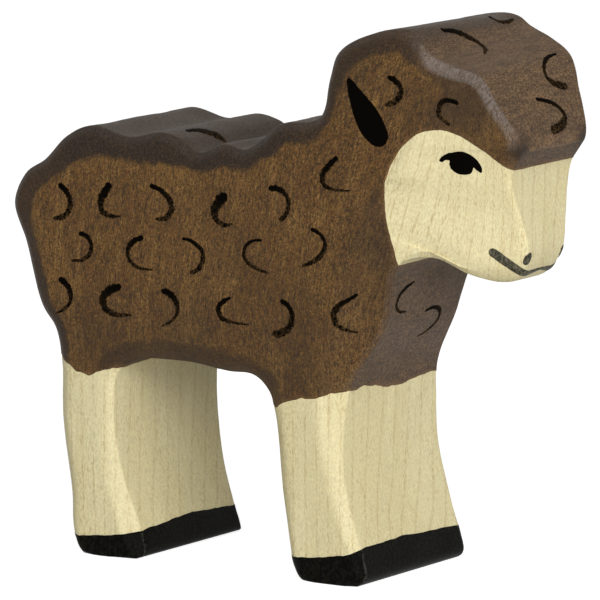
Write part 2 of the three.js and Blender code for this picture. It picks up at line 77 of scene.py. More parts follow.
# Landmarks of the sawn outline, anticlockwise seen from the right flank: x, z and how far on its sanded edge
# reaches the flat flank. Where the edge isn't the usual one, two more values follow: how deep the outline
# lies below the flank, and the width of the bevel along it. Each stretch also says how dark the stain is on
# its sanded slope, how pale its bevel is, from wear and a painted sheen, how light its sawn face is painted,
# with painted shade under the overhanging brow and a painted highlight along its edge, and how round its
# edges are.
USUAL_EDGE = (1.3, 0.9)
LANDMARK_VALUES = 6
OUTLINE = [
    ("hind hoof", (0.4, 0.1, 0.2, 1.1), [
        (HIND, 0, 0.4, 0.6, 0.6, 0.5),
        (HIND + 7.6, 0, -1.1, 0.5, 0.8, 0.5),
        (HIND + 8.5, 0.7, -1.6, 0.6, 1.7, 0.9),
    ]),
    ("front of the hind leg", (0.4, 0.1, 0.2, 0.8), [
        (HIND + 7.8, 3.6, -1.9, 0.2, 2.0, 1.0),
        (HIND + 5.4, KNEE - 2, -1.9, 0.2, 1.3, 0.8),
        (HIND + 4.4, BELLY - 6.5, -1.9, 0.2, 0.8, 0.6),
    ]),
    ("belly", (0.62, 0.1, 0.15, 1.0), [
        (HIND + 5.0, BELLY - 1.6, -1.8, 2.0, 0.9, 0.7),
        (HIND + 7.2, BELLY, -0.4, 2.4),
        (HIND + 14.6, BELLY + 0.6, 0, 2.5),
        (FORE - 12.1, BELLY, 0, 2.5),
        (FORE - 8.0, BELLY - 0.2, 0.6, 2.2),
        (FORE - 5.9, BELLY - 1.9, 1.8, 1.8),
    ]),
    ("back of the front leg", (0.25, 0.15, 0.4, 0.8), [
        (FORE - 5.0, BELLY - 4.6, 1.7, 0.4),
        (FORE - 3.9, KNEE - 1.5, 1.6, 0.2),
        (FORE - 2.8, 4.2, 1.3, 0.2),
    ]),
    ("front hoof", (0.25, 0.15, 0.4, 1.1), [
        (FORE - 2.0, 1.6, 1.1, 0.5, 1.0, 0.8),
        (FORE - 0.4, 0, 0.3, 0.6, 0.6, 0.5),
        (FORE + 7.3, 0, -0.4, 0.6, 0.7, 0.5),
        (FORE + 8.4, 1.0, -1.1, 0.4, 1.1, 0.8),
    ]),
    ("front of the front leg", (0.25, 0.15, 0.4, 0.8), [
        (FORE + 8.0, 3.2, -1.0, 0.3),
        (FORE + 6.2, KNEE - 3.5, -1.5, 0.2),
        (FORE + 4.9, KNEE + 2.5, -2.1, 0.1, 1.5, 0.9),
        (FORE + 4.9, BELLY - 4.5, -2.9, 0.3, 2.0, 1.1),
    ]),
    ("chest", (0.25, 0.15, 0.6, 0.4), [
        (CHEST - 4.5, BELLY + 0.2, -3.3, 0.2, 2.4, 0.5),
        (CHEST - 1.5, BELLY + 6.4, -4.4, 0.4, 3.2, 0.5),
        (CHEST, THROAT - 4.3, -5.1, 0.4, 3.0, 0.5),
        (CHEST + 0.9, THROAT - 1.5, -5.4, 0.2, 2.5, 0.5),
    ]),
    ("throat and jaw", (0.32, 0.1, 0.5, 0.6), [
        (CHEST + 2.7, THROAT, -6.6, 1.2, 0.32 * MUZZLE_CUT, 0.4),
        (CHEST + 6.1, THROAT + 0.6, -8.4, 3.2, 0.52 * MUZZLE_CUT, 0.9),
        (BROW - 8.1, THROAT - 1.5, -11.4, 7.0, 0.80 * MUZZLE_CUT, 0.9),
    ]),
    ("chin", (0.45, 0.0, 0.4, 4.0), [
        (BROW - 4.9, THROAT - 2.4, -13.9, 9.5, 1.02 * MUZZLE_CUT, 2.0),
        (BROW - 2.4, THROAT - 1.4, -15.8, 9.7, 1.06 * MUZZLE_CUT, 1.9),
    ]),
    ("nose and face", (0.45, 0.25, 0.4, 0.7), [
        (BROW - 1.0, THROAT + 1.5, -16.5, 7.8, 1.02 * MUZZLE_CUT, 1.1),
        (BROW - 1.3, THROAT + 5.3, -15.1, 4.8, 0.90 * MUZZLE_CUT, 0.5),
        (BROW - 1.8, CROWN - 18.6, -13.0, 0.8, 1.14 * BROW_CUT, 0.5),
    ]),
    # Painted shade: this facet faces down, and its sawn face is made darker for it
    ("underside of the overhanging brow", (0.3, 0.1, 0.5, 0.6), [
        (BROW - 1.5, CROWN - 16.8, -12.5, 0, 1.08 * BROW_CUT, 0.7),
        (BROW - 0.9, CROWN - 15.7, -12.6, 0.1, 1.04 * BROW_CUT, 0.8),
        (BROW - 0.3, CROWN - 14.7, -12.6, 0, 1.01 * BROW_CUT, 1.0),
    ]),
    # Painted highlight: a lighter line along the brow's edge
    ("edge of the brow", (0.25, 0.3, 1.3, 0.6), [
        (BROW - 0.05, CROWN - 14.2, -12.5, 0, BROW_CUT, 1.2),
    ]),
    ("brow", (0.15, 0.5, 0.72, 0.8), [
        (BROW, CROWN - 12.6, -11.7, 0.1, 0.98 * BROW_CUT, 1.6),
    ]),
    ("forehead", (0.5, 1.0, 0.95, 0.8), [
        (BROW - 1.6, CROWN - 8.4, -8.1, -0.8, 0.77 * BROW_CUT, 1.6),
        (BROW - 3.5, CROWN - 4.6, -4.8, -2.2, 0.54 * BROW_CUT, 1.5),
        (BROW - 6.9, CROWN - 2.5, -2.5, -3.6, 0.41 * BROW_CUT, 1.6),
        (BROW - 9.9, CROWN - 1.3, -1.3, -3.9, 0.32 * BROW_CUT, 1.5),
    ]),
    ("crown and the back of the head", (0.85, 0.15, 0.28, 1.0), [
        (BROW - 11.7, CROWN - 0.3, -1.6, -3.3),
        (BROW - 14.1, CROWN, -1.2, -2.8),
        (POLL + 4.0, CROWN - 1.4, 1.0, -2.4),
        (POLL + 0.8, CROWN - 3.5, 2.4, -1.8),
        (POLL - 0.4, CROWN - 6.6, 2.6, -0.4),
        (POLL - 1.8, NAPE, 1.0, -1.8),
    ]),
    ("wavy back, from the nape to the tail end", (1.0, 0.1, 0.12, 1.0), [
        (POLL - 7.8, NAPE - 1.4, 1.2, -2.8),
        (on_back(0.785), BACK + 0.2, 1.2, -2.4),
        (on_back(0.726), BACK - 1.3, 0.6, -2.3),
        (on_back(0.665), BACK - 0.8, 0.2, -3.0),
        (on_back(0.583), BACK - 2.1, 0.4, -2.2),
        (on_back(0.528), BACK - 0.6, 0.2, -3.3),
        (on_back(0.465), BACK, 0.1, -3.7),
        (on_back(0.368), BACK - 0.9, 0.2, -2.9),
        (RUMP + 11.9, BACK + 0.1, 1.0, -3.9),
        (RUMP + 8.1, BACK - 1.4, 1.8, -3.2),
    ]),
    ("rump and the back of the hind leg", (0.9, 0.1, 0.1, 1.0), [
        (RUMP + 4.7, BACK - 4.6, 2.2, -2.0),
        (RUMP + 1.7, BACK - 6.6, 2.8, -2.0),
        (RUMP, BACK - 10.4, 3.4, -0.8),
        (RUMP + 1.8, BACK - 15.2, 2.8, -0.6),
        (RUMP + 4.0, BELLY + 6.2, 2.6, 0.2),
        (HIND - 4.6, BELLY + 2.9, 2.2, 0.5),
        (HIND - 3.8, BELLY - 1.5, 1.9, 0.1),
        (HIND - 3.8, BELLY - 7.5, 1.8, 0),
        (HIND - 2.4, KNEE - 5, 1.5, 0.1),
        (HIND - 1.7, 2.2, 1.1, 0.4, 1.0, 0.8),
    ]),
]
# On the right the head's edge is taken lower than on the left, and the chest's less far back. For the first
# landmarks of some stretches: how far along x and z the sawn outline is moved, then the bevel's border.
RIGHT_EDGE = {
    "chest": [((forward, 0.0), (forward, 0.0)) for forward in (0.3, 1.1, 0.9, 0.8)],
    "brow": [((-0.4, 0.1), (0.3, 0.7))],
    "forehead": [
        ((-1.3, -0.3), (-0.1, 0.0)),
        ((-1.0, -0.7), (0.2, -0.7)),
        ((-0.6, -1.6), (0.2, -1.6)),
        ((-0.7, -1.7), (0.2, -1.9)),
    ],
    "crown and the back of the head": [((-0.9, -0.6), (-0.2, -1.3))],
}
# The bevel takes at most these shares of the sanded edge's reach over the flank and of its depth
BEVEL_REACH_LIMIT = 0.45
BEVEL_DEPTH_LIMIT = 0.65

# How finely the figure is meshed: steps between landmarks, rings over its sanded edge and its sawn face, and
# the grid of points on its flat flanks. Rings lie closer where the edge turns: a radian counts as a length.
OUTLINE_STEPS = 8
EDGE_RINGS = 38
TURN_LENGTH = 3.0
SAWN_RINGS = 27
FLANK_GRID = 0.55
GRID_CLEARANCE = 0.3

# How far edges are rounded at the flank's border, the bevel's border and the sawn outline, at most which
# share of a face that takes, and in how many steps. Then the slight waves that hand work leaves: how long
# and how high. They begin between two heights above the soles.
EDGE_ROUND = (0.9, 0.5, 0.3)
ROUND_LIMIT = 0.47
ROUND_STEPS = 9
HAND_WAVES = ((7.0, 0.04), (2.6, 0.012))
LEVEL_SOLES = (0.5, 3.0)

# Smooth random values: how many sines are summed, and their shortest and longest share of the wavelength
RIPPLE_WAVES = 9
RIPPLE_LENGTHS = (0.7, 1.5)

# Coats: how deep the bare wood lies below them, how deep their own inner side lies, and how often the
# normals that they are laid along are averaged with their neighbours
WOOD_INSET = 0.05
COAT_DEPTH = 0.14
EVENING_ROUNDS = 6


def spline(points, steps, closed=False):
    """Points along a smooth curve through some points, closer together where those are."""
    points = np.asarray(points, float)
    if closed:
        padded = np.concatenate([points[-1:], points, points[:2]])
    else:
        padded = np.concatenate([2 * points[:1] - points[1:2], points, 2 * points[-1:] - points[-2:-1]])
    p0, p1, p2, p3 = padded[:-3], padded[1:-2], padded[2:-1], padded[3:]
    t0, t1, t2 = (
        np.sqrt(np.linalg.norm(b - a, axis=1, keepdims=True)) for a, b in ((p0, p1), (p1, p2), (p2, p3))
    )
    leave = ((p1 - p0) / t0 - (p2 - p0) / (t0 + t1) + (p2 - p1) / t1) * t1
    arrive = ((p2 - p1) / t1 - (p3 - p1) / (t1 + t2) + (p3 - p2) / t2) * t1
    t = (np.arange(steps) / steps)[None, :, None]
    leave, arrive, start, end = (a[:, None, :] for a in (leave, arrive, p1, p2))
    curve = start + leave * t + (3 * (end - start) - 2 * leave - arrive) * t**2
    curve = curve + (2 * (start - end) + leave + arrive) * t**3
    curve = curve.reshape(-1, points.shape[1])
    return curve if closed else np.concatenate([curve, points[-1:]])


def unit(vectors):
    return vectors / np.linalg.norm(vectors, axis=-1, keepdims=True)


def ripple(points, wavelength, seed):
    """Smooth random values, mostly within -1 and 1, that change over about a wavelength."""
    rng = np.random.default_rng(seed)
    directions = unit(rng.normal(size=(RIPPLE_WAVES, points.shape[1])))
    lengths = wavelength * rng.uniform(*RIPPLE_LENGTHS, RIPPLE_WAVES)
    starts = rng.uniform(0, 2 * math.pi, RIPPLE_WAVES)
    turns = points @ (directions * (2 * math.pi / lengths)[:, None]).T + starts
    return np.sin(turns).sum(1) / math.sqrt(RIPPLE_WAVES)


def smoothstep(value, low, high):
    t = np.clip((value - low) / (high - low), 0, 1)
    return t * t * (3 - 2 * t)


def within(spots, loop):
    """Which points of a drawing lie inside a closed line."""
    inside = np.zeros(len(spots), bool)
    for (x0, z0), (x1, z1) in zip(loop, np.roll(loop, -1, axis=0)):
        if z0 != z1:
            crosses = (spots[:, 1] < z0) != (spots[:, 1] < z1)
            inside ^= crosses & (spots[:, 0] < x0 + (spots[:, 1] - z0) * (x1 - x0) / (z1 - z0))
    return inside


def filled(loop, grid, clearance):
    """Even points inside a closed line, the nearest point of the line to each and its distance, and
    triangles over the line's points and those."""
    low, high = loop.min(0), loop.max(0)
    across, up = np.meshgrid(
        np.arange(low[0], high[0], grid), np.arange(low[1], high[1], grid * math.sqrt(3) / 2)
    )
    across[1::2] += grid / 2
    spots = np.stack([across.ravel(), up.ravel()], 1)
    spots = spots[within(spots, loop)]
    gaps = np.linalg.norm(spots[:, None] - loop[None], axis=2)
    clear = gaps.min(1) > clearance
    spots, nearest, gap = spots[clear], gaps[clear].argmin(1), gaps[clear].min(1)
    corners = [Vector(p) for p in np.concatenate([loop, spots])]
    inside_only, merge = 1, 1e-6
    found = delaunay_2d_cdt(corners, [], [list(range(len(loop)))], inside_only, merge)
    came_from = np.array([origin[0] for origin in found[3]])
    return spots, nearest, gap, came_from[np.array(found[2])]


def mesh_object(name, points, faces, marks=None):
    """A new object from points in millimetres, with named values at its points."""
    mesh = bpy.data.meshes.new(name)
    mesh.from_pydata((np.asarray(points) * MM).tolist(), [], [list(map(int, f)) for f in faces])
    mesh.validate()
    mesh.update()
    piece = bpy.data.objects.new(name, mesh)
    bpy.context.scene.collection.objects.link(piece)
    mesh.polygons.foreach_set("use_smooth", [True] * len(mesh.polygons))
    for mark, values in (marks or {}).items():
        layer = mesh.attributes.new(mark, "FLOAT", "POINT")
        layer.data.foreach_set("value", np.asarray(values, np.float32))
    return piece


def edge_lines():
    """Lines along a side of the board: the flank's border, then for each side the bevel's border and the
    sawn outline. Also how dark the stain is along them, how pale the bevels are from wear and a painted sheen,
    how light the sawn face is painted, and how round the edges are."""
    rows = np.array([
        (*row, *USUAL_EDGE)[:LANDMARK_VALUES] for _, _, stretch in OUTLINE for row in stretch
    ])
    looks = np.array([look for _, look, stretch in OUTLINE for _ in stretch])
    x, z, reach_x, reach_z, depth, width = rows.T
    before, after = np.roll(rows, 1, axis=0), np.roll(rows, -1, axis=0)
    inward = unit(np.stack([before[:, 1] - after[:, 1], after[:, 0] - before[:, 0]], 1))
    step = np.minimum(width, BEVEL_REACH_LIMIT * np.hypot(reach_x, reach_z))
    rise = np.minimum(width, BEVEL_DEPTH_LIMIT * depth)
    outline = np.stack([x, HALF_BOARD - depth, z], 1)
    bevel = np.stack([x + inward[:, 0] * step, HALF_BOARD - depth + rise, z + inward[:, 1] * step], 1)
    flank = np.stack([x + reach_x, np.full_like(x, HALF_BOARD), z + reach_z], 1)
    moves = []
    for name, _, stretch in OUTLINE:
        moved = RIGHT_EDGE.get(name, [])
        moves += moved + [((0, 0), (0, 0))] * (len(stretch) - len(moved))
    moves = np.insert(np.array(moves, float), 1, 0, axis=2)
    right = bevel + moves[:, 1], outline + moves[:, 0]

    def smooth(line):
        line = spline(line, OUTLINE_STEPS, closed=True)
        line[:, 2] = np.maximum(line[:, 2], 0)
        return line

    at = np.arange(len(rows) * OUTLINE_STEPS) / OUTLINE_STEPS
    along = [np.interp(at, np.arange(len(rows)), look, period=len(rows)) for look in looks.T]
    left, right = ([smooth(line) for line in side] for side in ((bevel, outline), right))
    return smooth(flank), left, right, along


def rounded(before, corner, after, reach):
    """A curve that rounds an edge off, between the lines on its two sides."""
    ends = []
    for side in (before, after):
        run = side - corner
        length = np.linalg.norm(run, axis=1)
        ends.append(corner + run * np.minimum(reach / length, ROUND_LIMIT)[:, None])
    shares = np.linspace(0, 1, ROUND_STEPS)
    return [ends[0] * (1 - t) ** 2 + 2 * corner * t * (1 - t) + ends[1] * t**2 for t in shares]


def respaced(path, values):
    """Values along some paths, read off at a set number of places, closer together where the paths turn."""
    steps = np.diff(path, axis=0)
    length = np.linalg.norm(steps, axis=2)
    heading = steps / length[:, :, None]
    turn = np.arccos(np.clip((heading[1:] * heading[:-1]).sum(2), -1, 1))
    turn = np.pad(turn, ((1, 1), (0, 0)))
    weight = length + TURN_LENGTH * (turn[1:] + turn[:-1]) / 2
    run = np.pad(np.cumsum(weight, axis=0), ((1, 0), (0, 0)))
    places = np.linspace(0, run[-1], EDGE_RINGS)
    read = np.empty((EDGE_RINGS, *values.shape[1:]))
    for i in range(values.shape[1]):
        for k in range(values.shape[2]):
            read[:, i, k] = np.interp(places[:, i], run[:, i], values[:, i, k])
    return read


def sanded_edge(inner, flank, bevel, outline, roundness):
    """Half of the board's edge along the outline, from a flank to the sawn face: the places of its rings,
    how far past the flank's border they lie, and how much they are on the bevel and on the sawn face."""
    at_flank, at_bevel, at_outline = (roundness * reach for reach in EDGE_ROUND)
    path = np.array(
        rounded(inner, flank, bevel, at_flank)
        + rounded(flank, bevel, outline, at_bevel)
        + rounded(bevel, outline, outline * (1, 0, 1), at_outline)
    )
    past = np.cumsum(np.linalg.norm(np.diff(path, axis=0), axis=2), axis=0)
    past = np.pad(past, ((1, 0), (0, 0)))
    past -= past[ROUND_STEPS // 2]
    turn, none = np.linspace(0, 1, ROUND_STEPS), np.zeros(ROUND_STEPS)
    on_bevel = np.broadcast_to(np.concatenate([none, turn, 1 - turn])[:, None], past.shape)
    on_sawn = np.broadcast_to(np.concatenate([none, none, turn])[:, None], past.shape)
    values = np.concatenate([path, np.stack([past, on_bevel, on_sawn], 2)], 2)
    return respaced(path, values)


def section_rings():
    """Rings round the board's edge, from the right flank to the left one, with the marks of the sanded edge
    and the looks along the outline."""
    flank, (bevel, outline), (right_bevel, right_outline), along = edge_lines()
    inner = flank + (flank - outline) * (1, 0, 1)
    left = sanded_edge(inner, flank, bevel, outline, along[-1])
    right = sanded_edge(inner, flank, right_bevel, right_outline, along[-1]) * (1, -1, 1, 1, 1, 1)
    shares = np.arange(1, SAWN_RINGS + 1)[:, None, None] / (SAWN_RINGS + 1)
    across = right[-1] * (1 - shares) + left[-1] * shares
    rings = np.concatenate([right, across, left[::-1]])
    return rings[:, :, :3], np.moveaxis(rings[:, :, 3:], 2, 0), along


def summed(at, vectors, count):
    """Vectors added up at the points that they belong to."""
    return np.stack([np.bincount(at, vectors[:, axis], minlength=count) for axis in range(3)], 1)


def vertex_normals(points, triangles):
    a, b, c = (points[triangles[:, k]] for k in range(3))
    across = np.cross(b - a, c - a)
    return unit(sum(summed(triangles[:, k], across, len(points)) for k in range(3)))


def evened(normals, triangles):
    """Normals that turn gently from point to point, so that a skin set along them hardly folds at edges."""
    ends = triangles.ravel()
    others = np.roll(triangles, -1, axis=1).ravel()
    for _ in range(EVENING_ROUNDS):
        normals = unit(summed(ends, normals[others], len(normals)))
    return normals


def skin(rings, count, cap, spots):
    """Triangles between rings with a count of points each, then over the right flank and the left one."""
    i = np.arange(count)
    j = (i + 1) % count
    start = np.arange(rings - 1)[:, None] * count
    a, b, c, d = (corner.ravel() for corner in (start + i, start + count + i, start + count + j, start + j))
    last_ring = (rings - 1) * count
    right = np.where(cap < count, cap, cap + last_ring)
    left = np.where(cap < count, cap + last_ring, cap + last_ring + spots)
    return np.concatenate([np.stack([a, b, c], 1), np.stack([a, c, d], 1), right, left[:, ::-1]])


def waved(points):
    """Points moved by the slight waves of hand work, and none below the floor."""
    free = smoothstep(points[:, 2], *LEVEL_SOLES)
    for seed, (wavelength, height) in enumerate(HAND_WAVES):
        sway = np.stack([ripple(points, wavelength, 3 * seed + axis) for axis in range(3)], 1)
        points = points + sway * (free * height)[:, None]
    points[:, 2] = np.maximum(points[:, 2], 0)
    return points


def sanded_figure():
    """The whole lamb: points, triangles, normals, and the marks at its points that its looks go by."""
    rings, (past, on_bevel, on_sawn), (dark, wear_and_highlight, light, _) = section_rings()
    spots, nearest, gap, cap = filled(rings[0][:, [0, 2]], FLANK_GRID, GRID_CLEARANCE)
    right, left = (np.insert(spots, 1, y, axis=1) for y in (-HALF_BOARD, HALF_BOARD))
    points = waved(np.concatenate([rings.reshape(-1, 3), right, left]))
    triangles = skin(*rings.shape[:2], cap, len(spots))

    def everywhere(on_rings, on_flank):
        return np.concatenate([np.broadcast_to(on_rings, rings.shape[:2]).ravel(), on_flank, on_flank])

    none = np.zeros(len(spots))
    marks = {
        "edge": everywhere(past, past[0][nearest] - gap),
        "bevel": everywhere(on_bevel * wear_and_highlight, none),
        "sawn": everywhere(on_sawn, none),
        "dark": everywhere(dark, dark[nearest]),
        "light": everywhere(light, light[nearest]),
    }
    return points, triangles, evened(vertex_normals(points, triangles), triangles), marks


# Darker places in the stain, partly painted shade (in the notch at the brow's corner and in the throat's
# corner under the jaw), alike on both sides: x, y and z, how far they reach and how dark they are
SMUDGES_AND_SHADE = [
    (36.2, 6.8, 55.0, 1.3, 1.0),
    (35.8, 8.0, 54.6, 1.2, 0.95),
    (29.6, 11.4, 59.2, 4.2, 0.50),
    (24.0, 12.5, 60.0, 4.0, 0.25),
    (13.5, 12.5, 61.5, 3.0, 0.30),
    (16.5, 12.5, 64.5, 3.5, 0.35),
    (19.5, 12.0, 40.5, 5.0, 0.45),
    (17.5, 12.5, 46.0, 4.0, 0.20),
    (8.0, 12.5, 33.0, 6.0, 0.25),
    (-2.0, 12.5, 39.0, 5.0, 0.20),
    (6.0, 12.5, 25.0, 6.0, 0.40),
    (-22.0, 12.5, 27.0, 6.0, 0.40),
    (-9.0, 12.5, 29.0, 6.0, 0.45),
]


def smudge_and_shade_at(at):
    """How dark the smudges and the painted shade are at some points."""
    at = np.stack([at[:, 0], np.abs(at[:, 1]), at[:, 2]], 1)
    clear = np.ones(len(at))
    for x, y, z, reach, amount in SMUDGES_AND_SHADE:
        gap = np.linalg.norm(at - (x, y, z), axis=1)
        clear *= 1 - amount * np.exp(-((gap / reach) ** 2))
    return 1 - clear


points, triangles, normals, figure_marks = sanded_figure()
figure_marks["smudge_and_shade"] = smudge_and_shade_at(points)
surface = BVHTree.FromPolygons(points.tolist(), triangles.tolist())

# Borders of the bare wood. The face's border is drawn from the right flank; it runs up from the throat, over
# the eye and out past the brow. The others are heights round a leg: x and y where they are measured, then
# how high. A leg is given by the x of its middle and its length.
BORDER_STEPS = 6
FACE_BORDER = spline([
    (21.4, 36.0), (20.5, 38.4), (20.2, 40.2), (19.9, 42.2), (19.5, 44.2), (19.3, 46.3), (19.4, 48.5),
    (19.9, 50.7), (20.8, 52.8), (22.2, 54.8), (24.1, 56.4), (26.2, 57.2), (28.3, 57.0), (30.2, 56.1),
    (31.8, 54.9), (33.2, 53.5), (34.5, 52.4), (36.5, 52.1), (40.0, 51.9),
], BORDER_STEPS)
FACE_CLOSING = np.array([(60.0, 51.9), (60.0, 36.0)])
HIND_LEG = (-25.0, 8.0)
HIND_FLEECE = [
    (-29.0, -10.0, 24.9), (-28.0, -12.5, 24.5), (-26.2, -12.5, 23.4), (-23.9, -12.5, 22.8),
    (-21.6, -12.5, 23.6), (-20.6, -11.0, 24.0), (-20.6, -6.0, 24.2), (-20.6, -3.5, 24.5),
    (-20.6, -1.0, 24.0), (-20.6, 2.5, 24.6), (-20.6, 5.5, 23.9), (-20.6, 11.0, 24.2),
    (-21.6, 12.5, 23.7), (-24.4, 12.5, 22.9), (-27.4, 12.5, 24.2), (-29.0, 9.0, 24.6),
    (-29.0, 3.0, 23.8), (-29.0, -4.0, 24.4),
]
FRONT_LEG = (8.0, 9.0)
FRONT_FLEECE = [
    (3.4, -10.0, 21.2), (3.9, -12.5, 21.4), (5.1, -12.5, 22.0), (7.1, -12.5, 22.7), (10.0, -12.5, 23.1),
    (11.4, -11.5, 23.6), (12.6, -9.0, 23.9), (12.6, -5.3, 24.1), (12.6, -0.9, 23.2), (12.6, 2.5, 23.2),
    (12.6, 6.3, 23.7), (12.6, 11.0, 23.7), (11.0, 12.5, 23.2), (8.0, 12.5, 22.6), (5.0, 12.5, 22.1),
    (3.6, 12.0, 21.6), (3.4, 6.0, 21.3), (3.4, -2.0, 21.8),
]
HIND_HOOF = (-22.0, 10.0)
HIND_HOOF_TOP = [
    (-27.0, -9.0, 2.5), (-26.5, -12.5, 2.3), (-22.0, -12.5, 2.7), (-18.8, -12.5, 3.1), (-17.6, -10.4, 3.4),
    (-17.6, -8.2, 3.6), (-17.6, 0.8, 4.1), (-17.6, 10.8, 3.5), (-19.0, 12.5, 3.1), (-24.0, 12.5, 2.6),
    (-27.0, 10.0, 2.4), (-27.0, 0.0, 2.8),
]
FRONT_HOOF = (11.0, 10.0)
FRONT_HOOF_TOP = [
    (5.6, -9.0, 3.0), (6.0, -12.5, 2.9), (10.0, -12.5, 3.2), (14.2, -12.5, 3.9), (15.8, -10.5, 4.7),
    (15.8, -2.0, 4.8), (15.8, 5.0, 4.5), (15.8, 11.0, 4.2), (14.0, 12.5, 3.8), (9.0, 12.5, 3.1),
    (5.6, 9.0, 2.9), (5.6, 0.0, 3.3),
]
LEGS_PART = -8.0

# Unevenness that a brush left on the borders round the legs, round the face and on the hooves: how long and
# how high, and the seeds of its waves
LEG_BRISTLES = ((2.2, 0.11), (0.9, 0.05))
FACE_BRISTLES = ((2.6, 0.03), (0.8, 0.02))
HOOF_BRISTLES = ((2.4, 0.05), (0.9, 0.03))
LEG_SEED = 20
FACE_SEED = 25
HIND_HOOF_SEED = 30
FRONT_HOOF_SEED = 40

# A coat lies where its field, the distance from its border, is positive: the least distance that is kept,
# the distance given to places on the other leg, and the greatest that is marked on the coat
LEAST_FIELD = 0.02
OTHER_LEG = -1.0
BRIM_LIMIT = 3.0


def height_round(leg, rows, at):
    """A height that runs round a leg, at each point. It is read by the direction from the leg's middle."""
    middle, length = leg
    stretch = 2 * HALF_BOARD / length
    rows = np.array(rows)
    angles = np.arctan2(rows[:, 1], (rows[:, 0] - middle) * stretch)
    order = np.argsort(angles)
    around = np.arctan2(at[:, 1], (at[:, 0] - middle) * stretch)
    return np.interp(around, angles[order], rows[order, 2], period=2 * math.pi)


def inside_face(at):
    """Distances from the face's border in the drawing, positive on the bare face."""
    flat = at[:, [0, 2]]
    nearest = np.full(len(flat), np.inf)
    for start, end in zip(FACE_BORDER[:-1], FACE_BORDER[1:]):
        run = end - start
        share = np.clip(((flat - start) @ run) / (run @ run), 0, 1)
        nearest = np.minimum(nearest, np.linalg.norm(flat - start - share[:, None] * run, axis=1))
    return np.where(within(flat, np.concatenate([FACE_BORDER, FACE_CLOSING])), nearest, -nearest)


def brushed(field, bristles, seed):
    """A border's distances with the small unevenness of a brush, kept off zero so that no sliver is cut."""
    for k, (wavelength, height) in enumerate(bristles):
        field = field + height * ripple(points, wavelength, seed + k)
    return np.where(np.abs(field) < LEAST_FIELD, np.where(field < 0, -LEAST_FIELD, LEAST_FIELD), field)


def clipped(field):
    """The figure's triangles where a field is positive, cut along its border. Also the cut edges, as pairs
    of points, and where along each the border crosses."""
    positive = field > 0
    corners = positive[triangles].sum(1)
    kept = [triangles[corners == 3]]
    cuts, pairs = [], []
    for whole, lone in ((1, True), (2, False)):
        cut = triangles[corners == whole]
        first = np.argmax(positive[cut] == lone, axis=1)
        a, b, c = (np.take_along_axis(cut, ((first + k) % 3)[:, None], 1)[:, 0] for k in range(3))
        cuts.append((lone, a, b, c))
        pairs += [np.sort(np.stack([a, b], 1), 1), np.sort(np.stack([a, c], 1), 1)]
    edges, place = np.unique(np.concatenate(pairs), axis=0, return_inverse=True)
    place = place.ravel() + len(points)
    start = 0
    for lone, a, b, c in cuts:
        on_b = place[start:start + len(a)]
        on_c = place[start + len(a):start + 2 * len(a)]
        start += 2 * len(a)
        if lone:
            kept.append(np.stack([a, on_b, on_c], 1))
        else:
            kept += [np.stack([on_b, b, c], 1), np.stack([on_b, c, on_c], 1)]
    share = field[edges[:, 0]] / (field[edges[:, 0]] - field[edges[:, 1]])
    return np.concatenate(kept), edges, share[:, None]


def coat(name, field):
    """A closed thin shell on the figure where a field is positive, with the figure's marks at its points."""
    outer, edges, share = clipped(field)
    used, outer = np.unique(outer, return_inverse=True)
    outer = outer.reshape(-1, 3)

    def carried(values):
        on_cuts = values[edges[:, 0]] * (1 - share) + values[edges[:, 1]] * share
        return np.concatenate([values, on_cuts])[used]

    places, facing = carried(points), unit(carried(normals))
    count = len(places)
    sides = np.concatenate([outer[:, [0, 1]], outer[:, [1, 2]], outer[:, [2, 0]]]).astype(np.int64)
    rim = sides[~np.isin(sides @ (count, 1), sides @ (1, count))]
    walls = np.stack([rim[:, 1], rim[:, 0], rim[:, 0] + count, rim[:, 1] + count], 1)
    faces = outer.tolist() + (outer[:, ::-1] + count).tolist() + walls.tolist()
    marks = {mark: carried(values[:, None])[:, 0] for mark, values in figure_marks.items()}
    marks["brim"] = np.clip(carried(field[:, None])[:, 0], 0, BRIM_LIMIT)
    shell = np.concatenate([places, places - facing * COAT_DEPTH])
    return mesh_object(name, shell, faces, {mark: np.tile(values, 2) for mark, values in marks.items()})


hind = points[:, 0] < LEGS_PART
leg_border = np.where(
    hind, height_round(HIND_LEG, HIND_FLEECE, points), height_round(FRONT_LEG, FRONT_FLEECE, points)
)
fleece_field = np.minimum(
    brushed(points[:, 2] - leg_border, LEG_BRISTLES, LEG_SEED),
    brushed(-inside_face(points), FACE_BRISTLES, FACE_SEED),
)
hind_hoof_field = np.where(hind, height_round(HIND_HOOF, HIND_HOOF_TOP, points) - points[:, 2], OTHER_LEG)
front_hoof_field = np.where(hind, OTHER_LEG, height_round(FRONT_HOOF, FRONT_HOOF_TOP, points) - points[:, 2])

wood = mesh_object("wood", points - normals * WOOD_INSET, triangles, figure_marks)
fleece = coat("fleece", fleece_field)
hind_hoof = coat("hind_hoof", brushed(hind_hoof_field, HOOF_BRISTLES, HIND_HOOF_SEED))
front_hoof = coat("front_hoof", brushed(front_hoof_field, HOOF_BRISTLES, FRONT_HOOF_SEED))

# Views of drawings: the axis that they are seen along and the side that they are seen from. Drawn points
# start far outside the figure.
FAR = 90.0
VIEWS = {"right": (1, -1), "left": (1, 1), "front": (0, 1), "above": (2, 1), "behind": (0, -1)}

